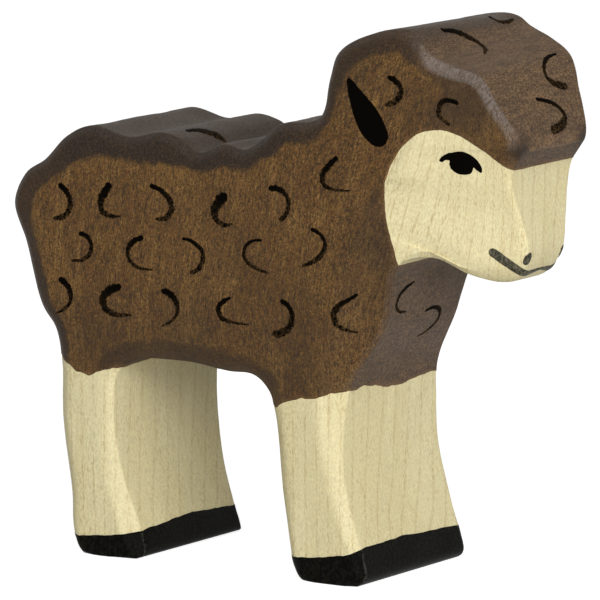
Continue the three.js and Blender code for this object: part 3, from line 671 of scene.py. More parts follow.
# Brush strokes: lines of points in a drawing, each with the width of the stroke there
FLANK_STROKES = {
    "curl": [
        [(-28.4, 46.6, 0.7), (-27.4, 45.9, 0.85), (-26.7, 44.8, 0.75), (-26.8, 43.5, 0.8),
         (-27.9, 42.5, 0.75), (-29.3, 42.2, 0.5)],
        [(-20.6, 47.3, 0.9), (-21.3, 46.2, 1.15), (-22.0, 45.0, 1.0), (-21.8, 43.7, 0.8),
         (-20.5, 43.2, 0.6), (-19.0, 43.3, 0.2)],
        [(-14.6, 47.5, 0.6), (-13.1, 47.0, 0.65), (-11.9, 46.1, 0.8), (-11.4, 44.8, 0.85),
         (-12.2, 43.6, 0.75), (-13.8, 43.3, 0.35)],
        [(-3.2, 47.3, 1.1), (-4.1, 46.4, 1.45), (-4.9, 45.3, 1.2), (-4.8, 44.1, 0.85),
         (-3.7, 43.4, 0.6), (-2.3, 43.6, 0.2)],
        [(3.0, 48.4, 0.7), (3.9, 48.5, 0.8), (4.9, 48.3, 0.75), (5.7, 47.6, 0.65), (5.9, 46.6, 0.6),
         (5.5, 45.4, 0.6), (4.6, 44.5, 0.7)],
        [(13.0, 53.0, 0.55), (11.9, 52.0, 0.8), (10.9, 50.8, 0.8), (11.0, 49.5, 0.65),
         (12.4, 49.0, 0.4), (14.8, 49.0, 0.2)],
        [(-25.3, 40.7, 0.6), (-24.1, 40.3, 0.65), (-23.5, 39.4, 0.55), (-23.8, 38.1, 0.65),
         (-25.0, 37.3, 0.5), (-26.5, 37.1, 0.25)],
        [(-15.6, 40.9, 0.6), (-16.9, 40.4, 0.75), (-17.9, 39.3, 0.7), (-17.8, 38.0, 0.5),
         (-16.6, 37.1, 0.45), (-14.2, 36.9, 0.2)],
        [(-9.8, 41.2, 0.35), (-8.8, 41.1, 0.45), (-7.7, 40.6, 0.6), (-6.8, 39.7, 0.6),
         (-6.8, 38.6, 0.7), (-7.5, 37.5, 0.6), (-8.6, 37.0, 0.5)],
        [(2.0, 41.9, 0.3), (0.8, 41.8, 0.4), (-0.4, 41.0, 0.45), (-0.7, 39.8, 0.5), (0.1, 38.8, 0.5),
         (1.4, 38.3, 0.45), (3.0, 37.9, 0.25)],
        [(9.1, 43.9, 0.5), (10.4, 43.4, 0.5), (11.2, 42.4, 0.55), (10.9, 41.1, 0.7), (9.7, 40.0, 0.65),
         (7.9, 39.2, 0.35)],
        [(-28.4, 34.7, 0.8), (-27.3, 34.1, 0.9), (-26.7, 33.1, 0.75), (-26.7, 31.9, 0.6),
         (-27.6, 30.9, 0.45), (-29.0, 30.2, 0.2)],
        [(-19.0, 34.5, 0.9), (-20.6, 33.9, 1.15), (-21.7, 32.9, 1.1), (-21.5, 31.6, 0.95),
         (-20.1, 30.9, 0.75), (-17.4, 31.0, 0.2)],
        [(-12.9, 34.5, 0.7), (-11.6, 34.1, 0.95), (-10.7, 33.1, 0.75), (-10.6, 31.8, 0.5),
         (-11.5, 30.7, 0.35), (-12.9, 30.0, 0.2)],
        [(-2.6, 34.4, 0.3), (-3.5, 34.0, 0.6), (-4.4, 33.1, 0.7), (-4.1, 31.9, 0.7), (-2.6, 31.4, 0.4),
         (0.0, 31.3, 0.2)],
        [(4.7, 34.7, 0.7), (5.9, 34.1, 0.65), (6.4, 33.1, 0.75), (6.3, 32.0, 0.85), (5.6, 31.1, 0.95),
         (4.6, 30.6, 1.0), (3.5, 30.4, 0.7)],
        [(15.2, 36.2, 0.4), (14.2, 35.5, 0.45), (13.0, 34.7, 0.7), (12.4, 33.6, 0.75),
         (12.6, 32.5, 0.6), (13.6, 31.7, 0.45), (15.0, 31.4, 0.25)],
    ],
    "head_curl": [
        [(20.2, 63.3, 0.6), (21.4, 62.8, 0.8), (22.1, 62.0, 0.65), (21.9, 61.0, 0.85),
         (21.0, 60.2, 0.75), (19.8, 59.8, 0.5)],
        [(29.6, 60.5, 0.5), (28.9, 60.9, 0.65), (27.9, 60.8, 0.6), (27.3, 60.0, 0.6), (27.3, 58.9, 0.5),
         (28.4, 57.8, 0.35)],
    ],
}
OTHER_STROKES = [
    ("chest_curl_1", "front",
     [(-4.2, 37.2, 0.25), (-6.2, 36.6, 0.55), (-7.5, 35.7, 0.6), (-7.6, 34.5, 0.5), (-6.5, 33.7, 0.4),
      (-4.6, 33.4, 0.2)]),
    ("chest_curl_2", "front",
     [(0.4, 32.8, 0.3), (2.5, 33.0, 0.5), (4.4, 32.4, 0.65), (4.9, 31.3, 0.6), (3.8, 30.2, 0.45),
      (1.3, 29.3, 0.2)]),
    ("forehead_curl_1", "front",
     [(7.4, 64.9, 0.2), (4.8, 64.5, 0.35), (3.1, 63.6, 0.5), (2.8, 62.7, 0.6), (3.6, 61.9, 0.75),
      (5.0, 61.4, 0.95), (6.4, 61.1, 0.85)]),
    ("forehead_curl_2", "front",
     [(-0.7, 60.3, 0.4), (1.4, 59.8, 0.55), (3.0, 59.0, 0.65), (3.6, 57.8, 0.8), (2.1, 56.9, 1.2),
      (-0.4, 56.5, 1.0)]),
    ("crown_curl_1", "above",
     [(23.5, -5.6, 0.6), (23.9, -4.0, 0.8), (24.7, -2.3, 0.85), (25.9, -1.2, 0.8), (27.2, -1.6, 0.6),
      (28.3, -3.4, 0.25)]),
    ("crown_curl_2", "above",
     [(22.6, 6.9, 0.3), (23.5, 6.1, 0.5), (24.4, 6.2, 0.6), (24.8, 7.4, 0.6), (24.6, 9.3, 0.4)]),
    ("back_curl", "above",
     [(-12.5, -7.6, 0.5), (-12.3, -5.8, 1.4), (-11.3, -4.7, 2.0), (-10.3, -3.9, 1.6), (-9.2, -3.5, 0.6)]),
    ("rump_curl_1", "behind",
     [(-6.6, 46.6, 0.6), (-5.3, 46.0, 0.8), (-4.6, 44.9, 0.8), (-4.8, 43.7, 0.7), (-5.9, 42.8, 0.5),
      (-7.3, 42.5, 0.25)]),
    ("rump_curl_2", "behind",
     [(6.3, 42.2, 0.7), (4.9, 41.8, 0.9), (4.0, 40.7, 0.85), (4.1, 39.3, 0.7), (5.3, 38.3, 0.5),
      (7.0, 38.1, 0.2)]),
]
# Outlines of filled marks in a drawing, and points of the mouth's right half in space, with its width
EAR = [(14.35, 62.6), (14.5, 61.0), (15.4, 58.0), (16.6, 56.0), (18.4, 54.7), (19.7, 54.9), (20.3, 55.9),
       (19.9, 57.3), (18.5, 59.4), (16.2, 61.5), (15.0, 62.6), (14.6, 62.8)]
EYE = [(26.6, 53.4), (27.0, 53.9), (27.7, 54.3), (28.5, 54.5), (29.4, 54.6), (30.3, 54.2), (30.9, 53.6),
       (31.3, 52.7), (31.2, 52.0), (30.7, 52.3), (30.4, 52.6), (30.0, 51.9), (29.2, 51.7), (28.5, 51.8),
       (27.9, 52.3), (27.7, 52.9), (27.8, 53.4), (27.4, 53.5), (26.9, 53.2)]
NOSTRIL_HIGH = 41.2
NOSTRIL_ASIDE = {"right": -3.8, "left": 4.0}
NOSTRIL_SIZE = (0.5, 0.8)
NOSTRIL_CORNERS = 10
MOUTH = [(31.0, -6.5, 42.3, 1.05), (32.2, -5.8, 41.3, 1.1), (33.4, -4.5, 40.1, 1.05),
         (34.1, -2.7, 39.1, 0.95), (34.4, -1.3, 39.15, 0.6), (34.5, 0.0, 39.25, 0.35)]

# Form of a stroke: steps between its points and between the mouth's, its mesh, how high its edge and its
# middle stand, how deep it is rooted, how much drier its rims are, how narrow its tips get, and how ragged
# its edges are, as wavelengths and shares of its half width
STROKE_STEPS = 12
MOUTH_STEPS = 8
STROKE_ROWS = 72
STROKE_COLUMNS = 7
STROKE_RIM = 0.012
STROKE_DOME = 0.045
STROKE_ROOT = 0.12
RIM_DRYNESS = 0.4
LEAST_TIP = 0.05
RAGGED = ((0.25, 0.16), (0.7, 0.10), (1.6, 0.08))

# Form of a filled mark: steps between its points, its mesh, how ragged its edge is, as a wavelength and a
# height, and how far in it reaches its full height
PATCH_STEPS = 5
PATCH_GRID = 0.3
PATCH_CLEARANCE = 0.12
PATCH_RAGGED = (0.6, 0.02)
DOME_REACH = 0.5

# How far the left flank's strokes stray from the right flank's, how many seeds a stroke and each of its
# edges have, and where each group's seeds begin
LEFT_SHIFT = 0.12
STROKE_SEEDS = 8
EDGE_SEEDS = 4
LEFT_SEED = 100
OTHER_SEED = 200
EAR_SEED = 300
EYE_SEED = 310
NOSTRIL_SEED = 320


def on_figure(view, drawn):
    """Where drawn points meet the figure, and the figure's facing there."""
    axis, side = VIEWS[view]
    heading = Vector(np.eye(3)[axis] * -side)
    found = []
    for start in np.insert(drawn, axis, side * FAR, axis=1):
        start = Vector(start)
        spot, facing, _, _ = surface.ray_cast(start, heading)
        if spot is None:
            spot, facing, _, _ = surface.find_nearest(start + heading * (FAR - HALF_BOARD))
        found.append((*spot, *facing))
    return np.hsplit(np.array(found), 2)


def nearest_on_figure(places):
    """The nearest points of the figure to some places, and the figure's facing there."""
    found = [surface.find_nearest(Vector(place)) for place in places]
    return np.hsplit(np.array([(*spot, *facing) for spot, facing, _, _ in found]), 2)


def tapered(width, run):
    """A stroke's width with its two ends rounded off, from its run in millimetres."""
    from_start = run / (width[0] / 2)
    to_end = (run[-1] - run) / (width[-1] / 2)
    near = np.clip(np.minimum(from_start, to_end), LEAST_TIP, 1)
    return width * np.sqrt(1 - (1 - near) ** 2)


def run_along(path):
    return np.concatenate([[0], np.cumsum(np.linalg.norm(np.diff(path, axis=0), axis=1))])


def stroke_drawing(line, seed):
    """Points across a brush stroke, row by row, with round ends and ragged edges. Also how dry it is."""
    line = np.array(line)
    path = spline(line[:, :2], STROKE_STEPS)
    run = run_along(path)
    even = np.linspace(0, 1, STROKE_ROWS)
    at = run[-1] * (even + (1 - np.cos(math.pi * even)) / 2) / 2
    middle = np.stack([np.interp(at, run, path[:, k]) for k in range(2)], 1)
    ahead = unit(np.gradient(middle, axis=0))
    aside = np.stack([-ahead[:, 1], ahead[:, 0]], 1)
    half = tapered(np.interp(at, run[::STROKE_STEPS], line[:, 2]), at) / 2
    sides = []
    for side in range(2):
        first = seed * STROKE_SEEDS + side * EDGE_SEEDS
        ragged = sum(share * ripple(at[:, None], size, first + k) for k, (size, share) in enumerate(RAGGED))
        sides.append(half * (1 + ragged))
    across = np.linspace(-1, 1, STROKE_COLUMNS)
    reach = np.where(across < 0, sides[0][:, None], sides[1][:, None]) * across
    drawn = middle[:, None, :] + aside[:, None, :] * reach[:, :, None]
    return drawn, (at / run[-1])[:, None] + RIM_DRYNESS * across**4


def turn_outward(piece):
    """Turns a closed mesh's faces outward."""
    bm = bmesh.new()
    bm.from_mesh(piece.data)
    bmesh.ops.recalc_face_normals(bm, faces=bm.faces)
    bm.to_mesh(piece.data)
    bm.free()
    return piece


def ribbon(name, spots, facing, dry):
    """A thin domed closed strip on the figure, from a grid of its rows and columns."""
    lift = STROKE_RIM + STROKE_DOME * (1 - np.linspace(-1, 1, STROKE_COLUMNS) ** 2)
    top = spots + facing * lift[None, :, None]
    roots = [(spots[:, k] - facing[:, k] * STROKE_ROOT)[:, None] for k in (-1, 0)]
    loops = np.concatenate([top] + roots, 1)
    grid = np.arange(loops.shape[0] * loops.shape[1]).reshape(loops.shape[:2])
    after = np.roll(grid, -1, axis=1)
    faces = np.stack([grid[:-1], after[:-1], after[1:], grid[1:]], 2).reshape(-1, 4).tolist()
    faces += [grid[0, ::-1], grid[-1]]
    dry = np.concatenate([dry, dry[:, -1:], dry[:, :1]], 1).ravel()
    return turn_outward(mesh_object(name, loops.reshape(-1, 3), faces, {"dry": dry}))


def stroke(name, view, line, seed):
    drawn, dry = stroke_drawing(line, seed)
    spots, facing = on_figure(view, drawn.reshape(-1, 2))
    shape = (*drawn.shape[:2], 3)
    return ribbon(name, spots.reshape(shape), facing.reshape(shape), dry)


def patch(name, view, outline, seed):
    """A filled brush mark inside a closed outline."""
    rim = spline(outline, PATCH_STEPS, closed=True)
    wavelength, height = PATCH_RAGGED
    ahead = np.roll(rim, -1, axis=0) - np.roll(rim, 1, axis=0)
    aside = unit(np.stack([-ahead[:, 1], ahead[:, 0]], 1))
    rim = rim + aside * (height * ripple(rim, wavelength, seed))[:, None]
    after = np.roll(rim, -1, axis=0)
    clockwise = ((after - rim) * after[:, ::-1] * (-1, 1)).sum() < 0
    if clockwise:
        rim = rim[::-1]
    inner, _, gap, fill = filled(rim, PATCH_GRID, PATCH_CLEARANCE)
    spots, facing = on_figure(view, np.concatenate([rim, inner]))
    depth = np.concatenate([np.zeros(len(rim)), np.minimum(gap / DOME_REACH, 1)])
    top = spots + facing * (STROKE_RIM + STROKE_DOME * (1 - (1 - depth) ** 2))[:, None]
    count = len(spots)
    i = np.arange(len(rim))
    j = (i + 1) % len(rim)
    walls = np.stack([i, i + count, j + count, j], 1)
    faces = fill.tolist() + (fill[:, ::-1] + count).tolist() + walls.tolist()
    shell = np.concatenate([top, spots - facing * STROKE_ROOT])
    return turn_outward(mesh_object(name, shell, faces, {"dry": np.zeros(len(shell))}))


def mouth():
    """One brush line from the right cheek round the muzzle to the left cheek."""
    half = np.array(MOUTH)
    whole = np.concatenate([half, half[-2::-1] * (1, -1, 1, 1)])
    path = spline(whole[:, :3], MOUTH_STEPS)
    rows = len(path)
    width = np.interp(np.linspace(0, 1, rows), np.linspace(0, 1, len(whole)), whole[:, 3])
    width = tapered(width, run_along(path))
    middle, facing = nearest_on_figure(path)
    aside = unit(np.cross(facing, np.gradient(path, axis=0)))
    reach = np.linspace(1, -1, STROKE_COLUMNS) * width[:, None] / 2
    places = middle[:, None] + aside[:, None] * reach[:, :, None]
    spots, facing = (found.reshape(places.shape) for found in nearest_on_figure(places.reshape(-1, 3)))
    dry = 1 - np.abs(np.linspace(-1, 1, rows))
    return ribbon("mouth_paint", spots, facing, np.repeat(dry[:, None], STROKE_COLUMNS, 1))


def nostril(aside):
    """The outline of a nostril, an upright oval."""
    across, up = NOSTRIL_SIZE
    turns = np.linspace(0, 2 * math.pi, NOSTRIL_CORNERS, endpoint=False)
    return [(aside + math.cos(turn) * across, NOSTRIL_HIGH + math.sin(turn) * up) for turn in turns]


flank_strokes = [
    (f"{kind}_{k}", line) for kind, lines in FLANK_STROKES.items() for k, line in enumerate(lines, 1)
]
marks = []
for seed, (name, line) in enumerate(flank_strokes):
    marks.append(stroke(f"right_{name}_paint", "right", line, seed))
    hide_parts(f"right_{name}")
    shift = np.random.default_rng(LEFT_SEED + seed).normal(0, LEFT_SHIFT, (len(line), 2))
    left_line = np.array(line) + np.pad(shift, ((0, 0), (0, 1)))
    marks.append(stroke(f"left_{name}_paint", "left", left_line, LEFT_SEED + seed))
    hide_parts(f"left_{name}")
for seed, (name, view, line) in enumerate(OTHER_STROKES):
    marks.append(stroke(f"{name}_paint", view, line, OTHER_SEED + seed))
    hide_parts(name)
for side in ("right", "left"):
    marks.append(patch(f"{side}_ear_paint", side, EAR, EAR_SEED))
    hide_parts(f"{side}_ear")
    marks.append(patch(f"{side}_eye_paint", side, EYE, EYE_SEED))
    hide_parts(f"{side}_eye")

thin_marks = []
for side, aside in NOSTRIL_ASIDE.items():
    thin_marks.append(patch(f"{side}_nostril_paint", "front", nostril(aside), NOSTRIL_SEED))
    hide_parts(f"{side}_nostril")
thin_marks.append(mouth())
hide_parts("mouth")


# Materials. Textures are placed by the part's own millimetres, and the grain runs up and down. Above some
# height it leans. Each lean goes from one slant to another between two places along x, and the leans add up:
# most on the side of the face and none at its front.
GRAIN_LEAN_FROM = 34.0
GRAIN_LEANS = ((6.0, 22.0, -0.15, -0.30), (25.0, 37.0, 0.0, 0.30))
# The wood's yearly layers: how far apart they are, the direction across them, how far they wander, and from
# where to where on the wave of a layer its line gets dark
LAYER_SPACING = 1.6
LAYER_ACROSS = (0.9, 0.55, 0.0)
LAYER_WANDER = 2.4
LAYER_LINE = (0.72, 1.0)
# The limits that noises mostly keep within, and their middle
NOISE_LIMITS = (0.3, 0.7)
NOISE_MIDDLE = 0.5


def plug(node, inputs):
    """Sets some of a node's inputs to values, or links them."""
    for socket, value in inputs.items():
        if isinstance(value, bpy.types.NodeSocket):
            node.id_data.links.new(value, node.inputs[socket])
        else:
            node.inputs[socket].default_value = value


def outputs(tree, kind, inputs, **settings):
    """The outputs of a new node."""
    node = tree.nodes.new(kind)
    for name, value in settings.items():
        setattr(node, name, value)
    plug(node, inputs)
    return node.outputs


class Finish:
    """A material under way: its nodes by short names. Colours are linear, limits are those of a value."""

    def __init__(self, name):
        self.material = bpy.data.materials.new(name)
        self.material.use_nodes = True
        self.tree = self.material.node_tree
        place = outputs(self.tree, "ShaderNodeTexCoord", {})["Object"]
        self.place = self.vector("MULTIPLY", place, (1 / MM, 1 / MM, 1 / MM))[0]
        self.leaned = self.vector("ADD", self.place, self.lean())[0]

    def vector(self, operation, a, b):
        return outputs(self.tree, "ShaderNodeVectorMath", {0: a, 1: b}, operation=operation)

    def math(self, operation, a, b=0.0):
        return outputs(self.tree, "ShaderNodeMath", {0: a, 1: b}, operation=operation)[0]

    def lean(self):
        """How far the grain is carried aside at each place."""
        x, _, z = outputs(self.tree, "ShaderNodeSeparateXYZ", {0: self.place})
        slant = self.math("ADD", *(self.ranged(x, *lean) for lean in GRAIN_LEANS))
        above = self.math("MAXIMUM", self.math("SUBTRACT", z, GRAIN_LEAN_FROM))
        return outputs(self.tree, "ShaderNodeCombineXYZ", {0: self.math("MULTIPLY", slant, above)})[0]

    def noise(self, per_millimetre, detail, roughness=0.55, distortion=0.0):
        inputs = {
            "Vector": self.vector("MULTIPLY", self.leaned, per_millimetre)[0], "Scale": 1.0,
            "Detail": detail, "Roughness": roughness, "Distortion": distortion,
        }
        return outputs(self.tree, "ShaderNodeTexNoise", inputs)[0]

    def ranged(self, value, low, high, to_low=0.0, to_high=1.0):
        inputs = {"Value": value, "From Min": low, "From Max": high, "To Min": to_low, "To Max": to_high}
        return outputs(self.tree, "ShaderNodeMapRange", inputs, interpolation_type="SMOOTHSTEP")[0]

    def mix(self, factor, a, b, blend="MIX"):
        inputs = {0: factor}
        for socket, colour in ((6, a), (7, b)):
            inputs[socket] = colour if isinstance(colour, bpy.types.NodeSocket) else (*colour, 1.0)
        return outputs(self.tree, "ShaderNodeMix", inputs, data_type="RGBA", blend_type=blend)[2]

    def tint(self, under, over, value, limits, amounts=(0.0, 1.0)):
        """One colour over another, in amounts set by a value."""
        return self.mix(self.ranged(value, *limits, *amounts), under, over)

    def shade(self, colour, value, limits, amounts):
        """A colour made darker and lighter, by amounts set by a value."""
        return self.mix(1.0, colour, self.ranged(value, *limits, *amounts), "MULTIPLY")

    def attribute(self, name):
        return outputs(self.tree, "ShaderNodeAttribute", {}, attribute_name=name)["Fac"]

    def uneven(self, value, noise, by):
        """A value that a noise makes uneven."""
        sway = self.math("SUBTRACT", noise, NOISE_MIDDLE)
        return self.math("ADD", value, self.math("MULTIPLY", sway, by))

    def layers(self):
        """1 on thin lines where the wood's yearly layers meet the surface."""
        depth = self.vector("DOT_PRODUCT", self.leaned, LAYER_ACROSS)["Value"]
        wander = self.math("MULTIPLY", self.noise((0.10, 0.10, 0.03), 2), LAYER_WANDER)
        turn = self.math("MULTIPLY", self.math("ADD", depth, wander), 2 * math.pi / LAYER_SPACING)
        return self.ranged(self.math("SINE", turn), *LAYER_LINE)

    def finished(self, colour, grain, roughness, specular, height, relief):
        """The material, with its roughness set by a grain, and relief in millimetres by a height."""
        inputs = {"Height": height, "Distance": relief * MM, "Strength": 1.0}
        plug(self.tree.nodes["Principled BSDF"], {
            "Base Color": colour,
            "Roughness": self.ranged(grain, *NOISE_LIMITS, *roughness),
            "Specular IOR Level": specular,
            "Normal": outputs(self.tree, "ShaderNodeBump", inputs)[0],
        })
        return self.material


def bare_wood():
    f = Finish("bare_wood")
    clouds = f.noise((0.20, 0.28, 0.03), 3, 0.5, 0.4)
    streaks = f.noise((1.5, 1.5, 0.05), 4, 0.6, 0.2)
    dashes = f.noise((5.0, 5.0, 1.1), 2, 0.5)
    specks = f.noise((4.8, 4.8, 2.6), 2, 0.6)
    where = f.noise((0.30, 0.30, 0.10), 2, 0.5)
    colour = f.tint((0.770, 0.686, 0.407), (0.727, 0.640, 0.364), clouds, (0.35, 0.65))
    colour = f.tint(colour, (0.598, 0.465, 0.215), streaks, (0.52, 0.74), (0, 0.35))
    lines = f.math("MULTIPLY", f.layers(), f.ranged(dashes, 0.36, 0.62, 0.05, 0.42))
    colour = f.mix(lines, colour, (0.500, 0.360, 0.155))
    dashed = f.math("MULTIPLY", f.ranged(dashes, 0.54, 0.66), f.ranged(where, 0.40, 0.62, 0.10, 0.42))
    colour = f.mix(dashed, colour, (0.450, 0.320, 0.135))
    colour = f.shade(colour, specks, NOISE_LIMITS, (0.90, 1.10))
    # Bevels made lighter: a painted highlight on the sanded edges, with their wear
    colour = f.shade(colour, f.attribute("bevel"), (0.0, 0.6), (1.0, 1.18))
    height = f.math("SUBTRACT", specks, f.math("MULTIPLY", dashed, 0.6))
    return f.finished(colour, specks, roughness=(0.50, 0.60), specular=0.25, height=height, relief=0.05)


def stained_flank(f, specks, pores):
    """The stain on the flat flanks: golden and dark patches, short streaks, pale fibres and dark pores."""
    patches = f.noise((0.13, 0.13, 0.07), 3, 0.6, 0.5)
    gold = f.noise((0.40, 0.40, 0.08), 4, 0.65, 0.6)
    hues = f.noise((1.2, 1.2, 0.3), 3, 0.6)
    streaks = f.noise((2.4, 2.4, 0.20), 4, 0.7, 0.4)
    fibres = f.noise((6.0, 6.0, 1.0), 3, 0.65, 0.2)
    flank = f.tint((0.100, 0.049, 0.0135), (0.152, 0.080, 0.023), patches, (0.34, 0.68))
    flank = f.tint(flank, (0.245, 0.137, 0.042), gold, (0.50, 0.72), (0, 0.65))
    flank = f.tint(flank, (0.135, 0.058, 0.0230), hues, (0.50, 0.66), (0, 0.40))
    flank = f.tint(flank, (0.064, 0.032, 0.012), streaks, (0.34, 0.62), (0.50, 0))
    flank = f.tint(flank, (0.270, 0.158, 0.052), fibres, (0.52, 0.72), (0, 0.70))
    flank = f.tint(flank, (0.030, 0.016, 0.007), pores, (0.57, 0.67), (0, 0.75))
    return f.shade(flank, specks, (0.32, 0.68), (0.38, 1.66))


def stained_slope(f, specks, grit):
    """The stain on the sanded slopes."""
    slope = f.shade((0.0240, 0.0140, 0.0072), specks, (0.34, 0.66), (0.40, 1.70))
    return f.shade(slope, grit, (0.34, 0.66), (0.55, 1.45))


def stained_sawn(f, specks, grit):
    """The stain on the sawn face."""
    brushing = f.noise((0.5, 0.35, 1.6), 3, 0.6, 0.6)
    # How light the sawn face is, set along the outline: painted shade under the brow, a painted highlight on
    # its edge
    sawn = f.mix(f.attribute("light"), (0.034, 0.0232, 0.0155), (0.152, 0.091, 0.046))
    sawn = f.tint(sawn, (0.046, 0.028, 0.015), brushing, (0.36, 0.68), (0, 0.55))
    sawn = f.shade(sawn, grit, (0.34, 0.66), (0.60, 1.40))
    return f.shade(sawn, specks, (0.32, 0.68), (0.55, 1.50))


def stained_wood():
    """The stain on all faces, and over it bevels pale from wear and a painted sheen, a thin brim, and smudges
    that partly paint shade.
    """
    f = Finish("stained_wood")
    soft = f.noise((0.45, 0.45, 0.40), 3, 0.6)
    specks = f.noise((5.0, 5.0, 4.0), 3, 0.7)
    grit = f.noise((3.4, 2.2, 2.9), 2, 0.6)
    pores = f.noise((5.0, 5.0, 0.9), 2, 0.5)
    wear_and_highlight_grain = f.noise((5.5, 2.0, 0.9), 3, 0.65)
    past = f.ranged(f.uneven(f.attribute("edge"), soft, 1.8), -0.35, 0.45)
    slope = f.math("MULTIPLY", past, f.attribute("dark"))
    colour = f.mix(slope, stained_flank(f, specks, pores), stained_slope(f, specks, grit))
    colour = f.mix(f.attribute("sawn"), colour, stained_sawn(f, specks, grit))
    # Bevels turned pale grey: wear, with a painted sheen
    wear_and_highlight = f.math("MULTIPLY", f.attribute("bevel"), f.ranged(wear_and_highlight_grain, 0.38, 0.60, 0.25, 1.0))
    colour = f.mix(wear_and_highlight, colour, (0.245, 0.202, 0.173))
    brim = f.uneven(f.attribute("brim"), soft, 0.8)
    colour = f.tint(colour, (0.215, 0.115, 0.045), brim, (0.0, 0.5), (0.45, 0))
    # Smudges: painted shade in the brow's notch and the throat's corner, and darker patches of stain
    smudge_and_shade = f.math("MULTIPLY", f.attribute("smudge_and_shade"), f.ranged(soft, 0.2, 0.5, 0.7, 1.0))
    colour = f.mix(smudge_and_shade, colour, (0.020, 0.0125, 0.0075))
    height = f.math("SUBTRACT", specks, f.math("MULTIPLY", f.ranged(pores, 0.57, 0.67), 0.7))
    return f.finished(colour, specks, roughness=(0.52, 0.66), specular=0.18, height=height, relief=0.06)


def hoof_paint():
    """Black paint, with a painted grey highlight where the bevel meets the sawn face."""
    f = Finish("hoof_paint")
    grains = f.noise((3.0, 3.0, 2.4), 3, 0.65)
    colour = f.tint((0.0007, 0.0006, 0.0003), (0.0080, 0.0075, 0.0048), grains, (0.42, 0.66))
    # A painted highlight: a thin grey line along the crest between the bevel and the sawn face
    crest = f.math("MULTIPLY", f.attribute("bevel"), f.attribute("sawn"))
    wear_and_highlight = f.math("MULTIPLY", f.ranged(crest, 0.0, 0.03, 0, 0.7), f.ranged(grains, 0.38, 0.58))
    colour = f.mix(wear_and_highlight, colour, (0.050, 0.049, 0.043))
    return f.finished(colour, grains, roughness=(0.40, 0.55), specular=0.03, height=grains, relief=0.05)


def brush_paint():
    """Black paint, brown where the brush ran dry."""
    f = Finish("brush_paint")
    bristles = f.noise((3.6, 3.6, 3.0), 3, 0.65)
    dry = f.math("MULTIPLY", f.ranged(f.attribute("dry"), 0.1, 1.0), f.ranged(bristles, 0.44, 0.62))
    colour = f.mix(dry, (0.0020, 0.0016, 0.0010), (0.062, 0.036, 0.015))
    return f.finished(colour, bristles, roughness=(0.60, 0.75), specular=0.01, height=bristles, relief=0.03)


def thin_paint():
    """The grey paint of the mouth and the nostrils."""
    f = Finish("thin_paint")
    grains = f.noise((3.0, 3.0, 1.6), 3, 0.65)
    colour = f.tint((0.018, 0.017, 0.011), (0.150, 0.136, 0.088), grains, (0.38, 0.68))
    return f.finished(colour, grains, roughness=(0.5, 0.65), specular=0.15, height=grains, relief=0.03)


def finish_piece(piece, material):
    piece.data.materials.clear()
    piece.data.materials.append(material)
    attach(piece, "root")


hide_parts("wood_blank")
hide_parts("fleece_stain")
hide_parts("hind_hoof_paint")
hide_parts("front_hoof_paint")
finish_piece(wood, bare_wood())
finish_piece(fleece, stained_wood())
hoof = hoof_paint()
for piece in (hind_hoof, front_hoof):
    finish_piece(piece, hoof)
brush = brush_paint()
for piece in marks:
    finish_piece(piece, brush)
thin = thin_paint()
for piece in thin_marks:
    finish_piece(piece, thin)


# The stage: a white floor that keeps the shadow, soft light from the front right, and the camera
FLOOR_SIZE = 4.0
FLOOR_DROP = 0.00005
FLOOR_GREY = 0.8
FLOOR_ROUGHNESS = 0.9
FLOOR_GLOW = 0.85
WHITE = (1, 1, 1, 1)
SKY_LIGHT = 0.155
KEY_WATTS = 8.55
KEY_SIZE = (1.1, 0.45)
KEY_DISTANCE = 0.9
KEY_AZIMUTH = 45.0
KEY_ELEVATION = 20.0
AIM = Vector((-0.0006, 0.0, 0.032690))
CAMERA_AZIMUTH = 33.165
CAMERA_ELEVATION = 8.768
CAMERA_DISTANCE = 0.85
CAMERA_LENS = 410.0
SENSOR = 36.0
CLIP_NEAR = 0.01
CLIP_FAR = 20.0


def toward(azimuth, elevation):
    """A direction out from the part: azimuth from the right flank to the nose, elevation from the floor."""
    a, e = math.radians(azimuth), math.radians(elevation)
    return Vector((math.sin(a) * math.cos(e), -math.cos(a) * math.cos(e), math.sin(e)))


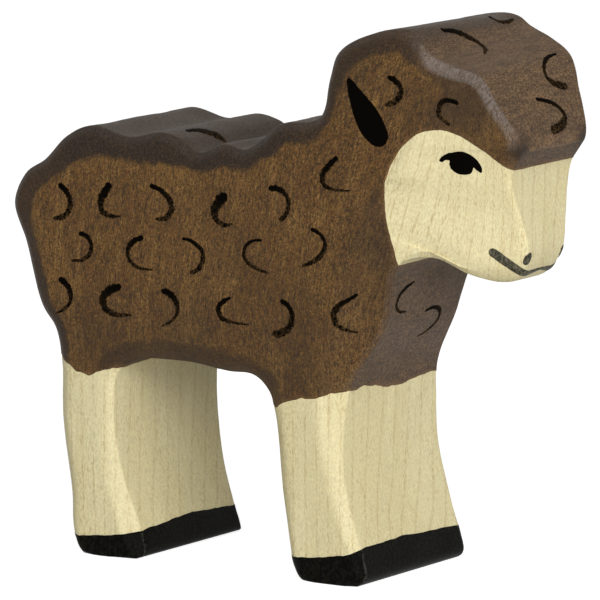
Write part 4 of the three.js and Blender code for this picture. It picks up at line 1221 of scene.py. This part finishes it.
def aimed(data, name, place):
    thing = bpy.data.objects.new(name, data)
    bpy.context.scene.collection.objects.link(thing)
    thing.location = place
    thing.rotation_euler = (AIM - place).to_track_quat("-Z", "Y").to_euler()
    return thing


def level_by_ray(tree, fallen, seen):
    """One level for light that falls on things, another for rays from the camera, reflections and glass."""
    path = outputs(tree, "ShaderNodeLightPath", {})
    direct = path["Is Camera Ray"]
    for kind in ("Is Glossy Ray", "Is Transmission Ray"):
        direct = outputs(tree, "ShaderNodeMath", {0: direct, 1: path[kind]}, operation="MAXIMUM")[0]
    return outputs(tree, "ShaderNodeMapRange", {"Value": direct, "To Min": fallen, "To Max": seen})[0]


def white_world():
    world = bpy.data.worlds.new("white")
    bpy.context.scene.world = world
    world.use_nodes = True
    tree = world.node_tree
    plug(tree.nodes["Background"], {"Color": WHITE, "Strength": level_by_ray(tree, SKY_LIGHT, 1.0)})


def white_floor():
    s = FLOOR_SIZE / MM / 2
    corners = [(-s, -s, 0), (s, -s, 0), (s, s, 0), (-s, s, 0)]
    floor = mesh_object("floor", np.array(corners) - (0, 0, FLOOR_DROP / MM), [(0, 1, 2, 3)])
    material = bpy.data.materials.new("floor")
    material.use_nodes = True
    tree = material.node_tree
    plug(tree.nodes["Principled BSDF"], {
        "Base Color": (FLOOR_GREY, FLOOR_GREY, FLOOR_GREY, 1),
        "Roughness": FLOOR_ROUGHNESS,
        "Specular IOR Level": 0.0,
        "Emission Color": WHITE,
        "Emission Strength": level_by_ray(tree, 0.0, FLOOR_GLOW),
    })
    floor.data.materials.append(material)


white_world()
white_floor()
key = bpy.data.lights.new("key", "AREA")
key.energy = KEY_WATTS
key.shape = "RECTANGLE"
key.size, key.size_y = KEY_SIZE
aimed(key, "key", AIM + KEY_DISTANCE * toward(KEY_AZIMUTH, KEY_ELEVATION))
lens = bpy.data.cameras.new("camera")
lens.sensor_width = SENSOR
lens.lens = CAMERA_LENS
lens.clip_start = CLIP_NEAR
lens.clip_end = CLIP_FAR
bpy.context.scene.camera = aimed(
    lens, "camera", AIM + CAMERA_DISTANCE * toward(CAMERA_AZIMUTH, CAMERA_ELEVATION)
)
bpy.context.scene.view_settings.view_transform = "Standard"
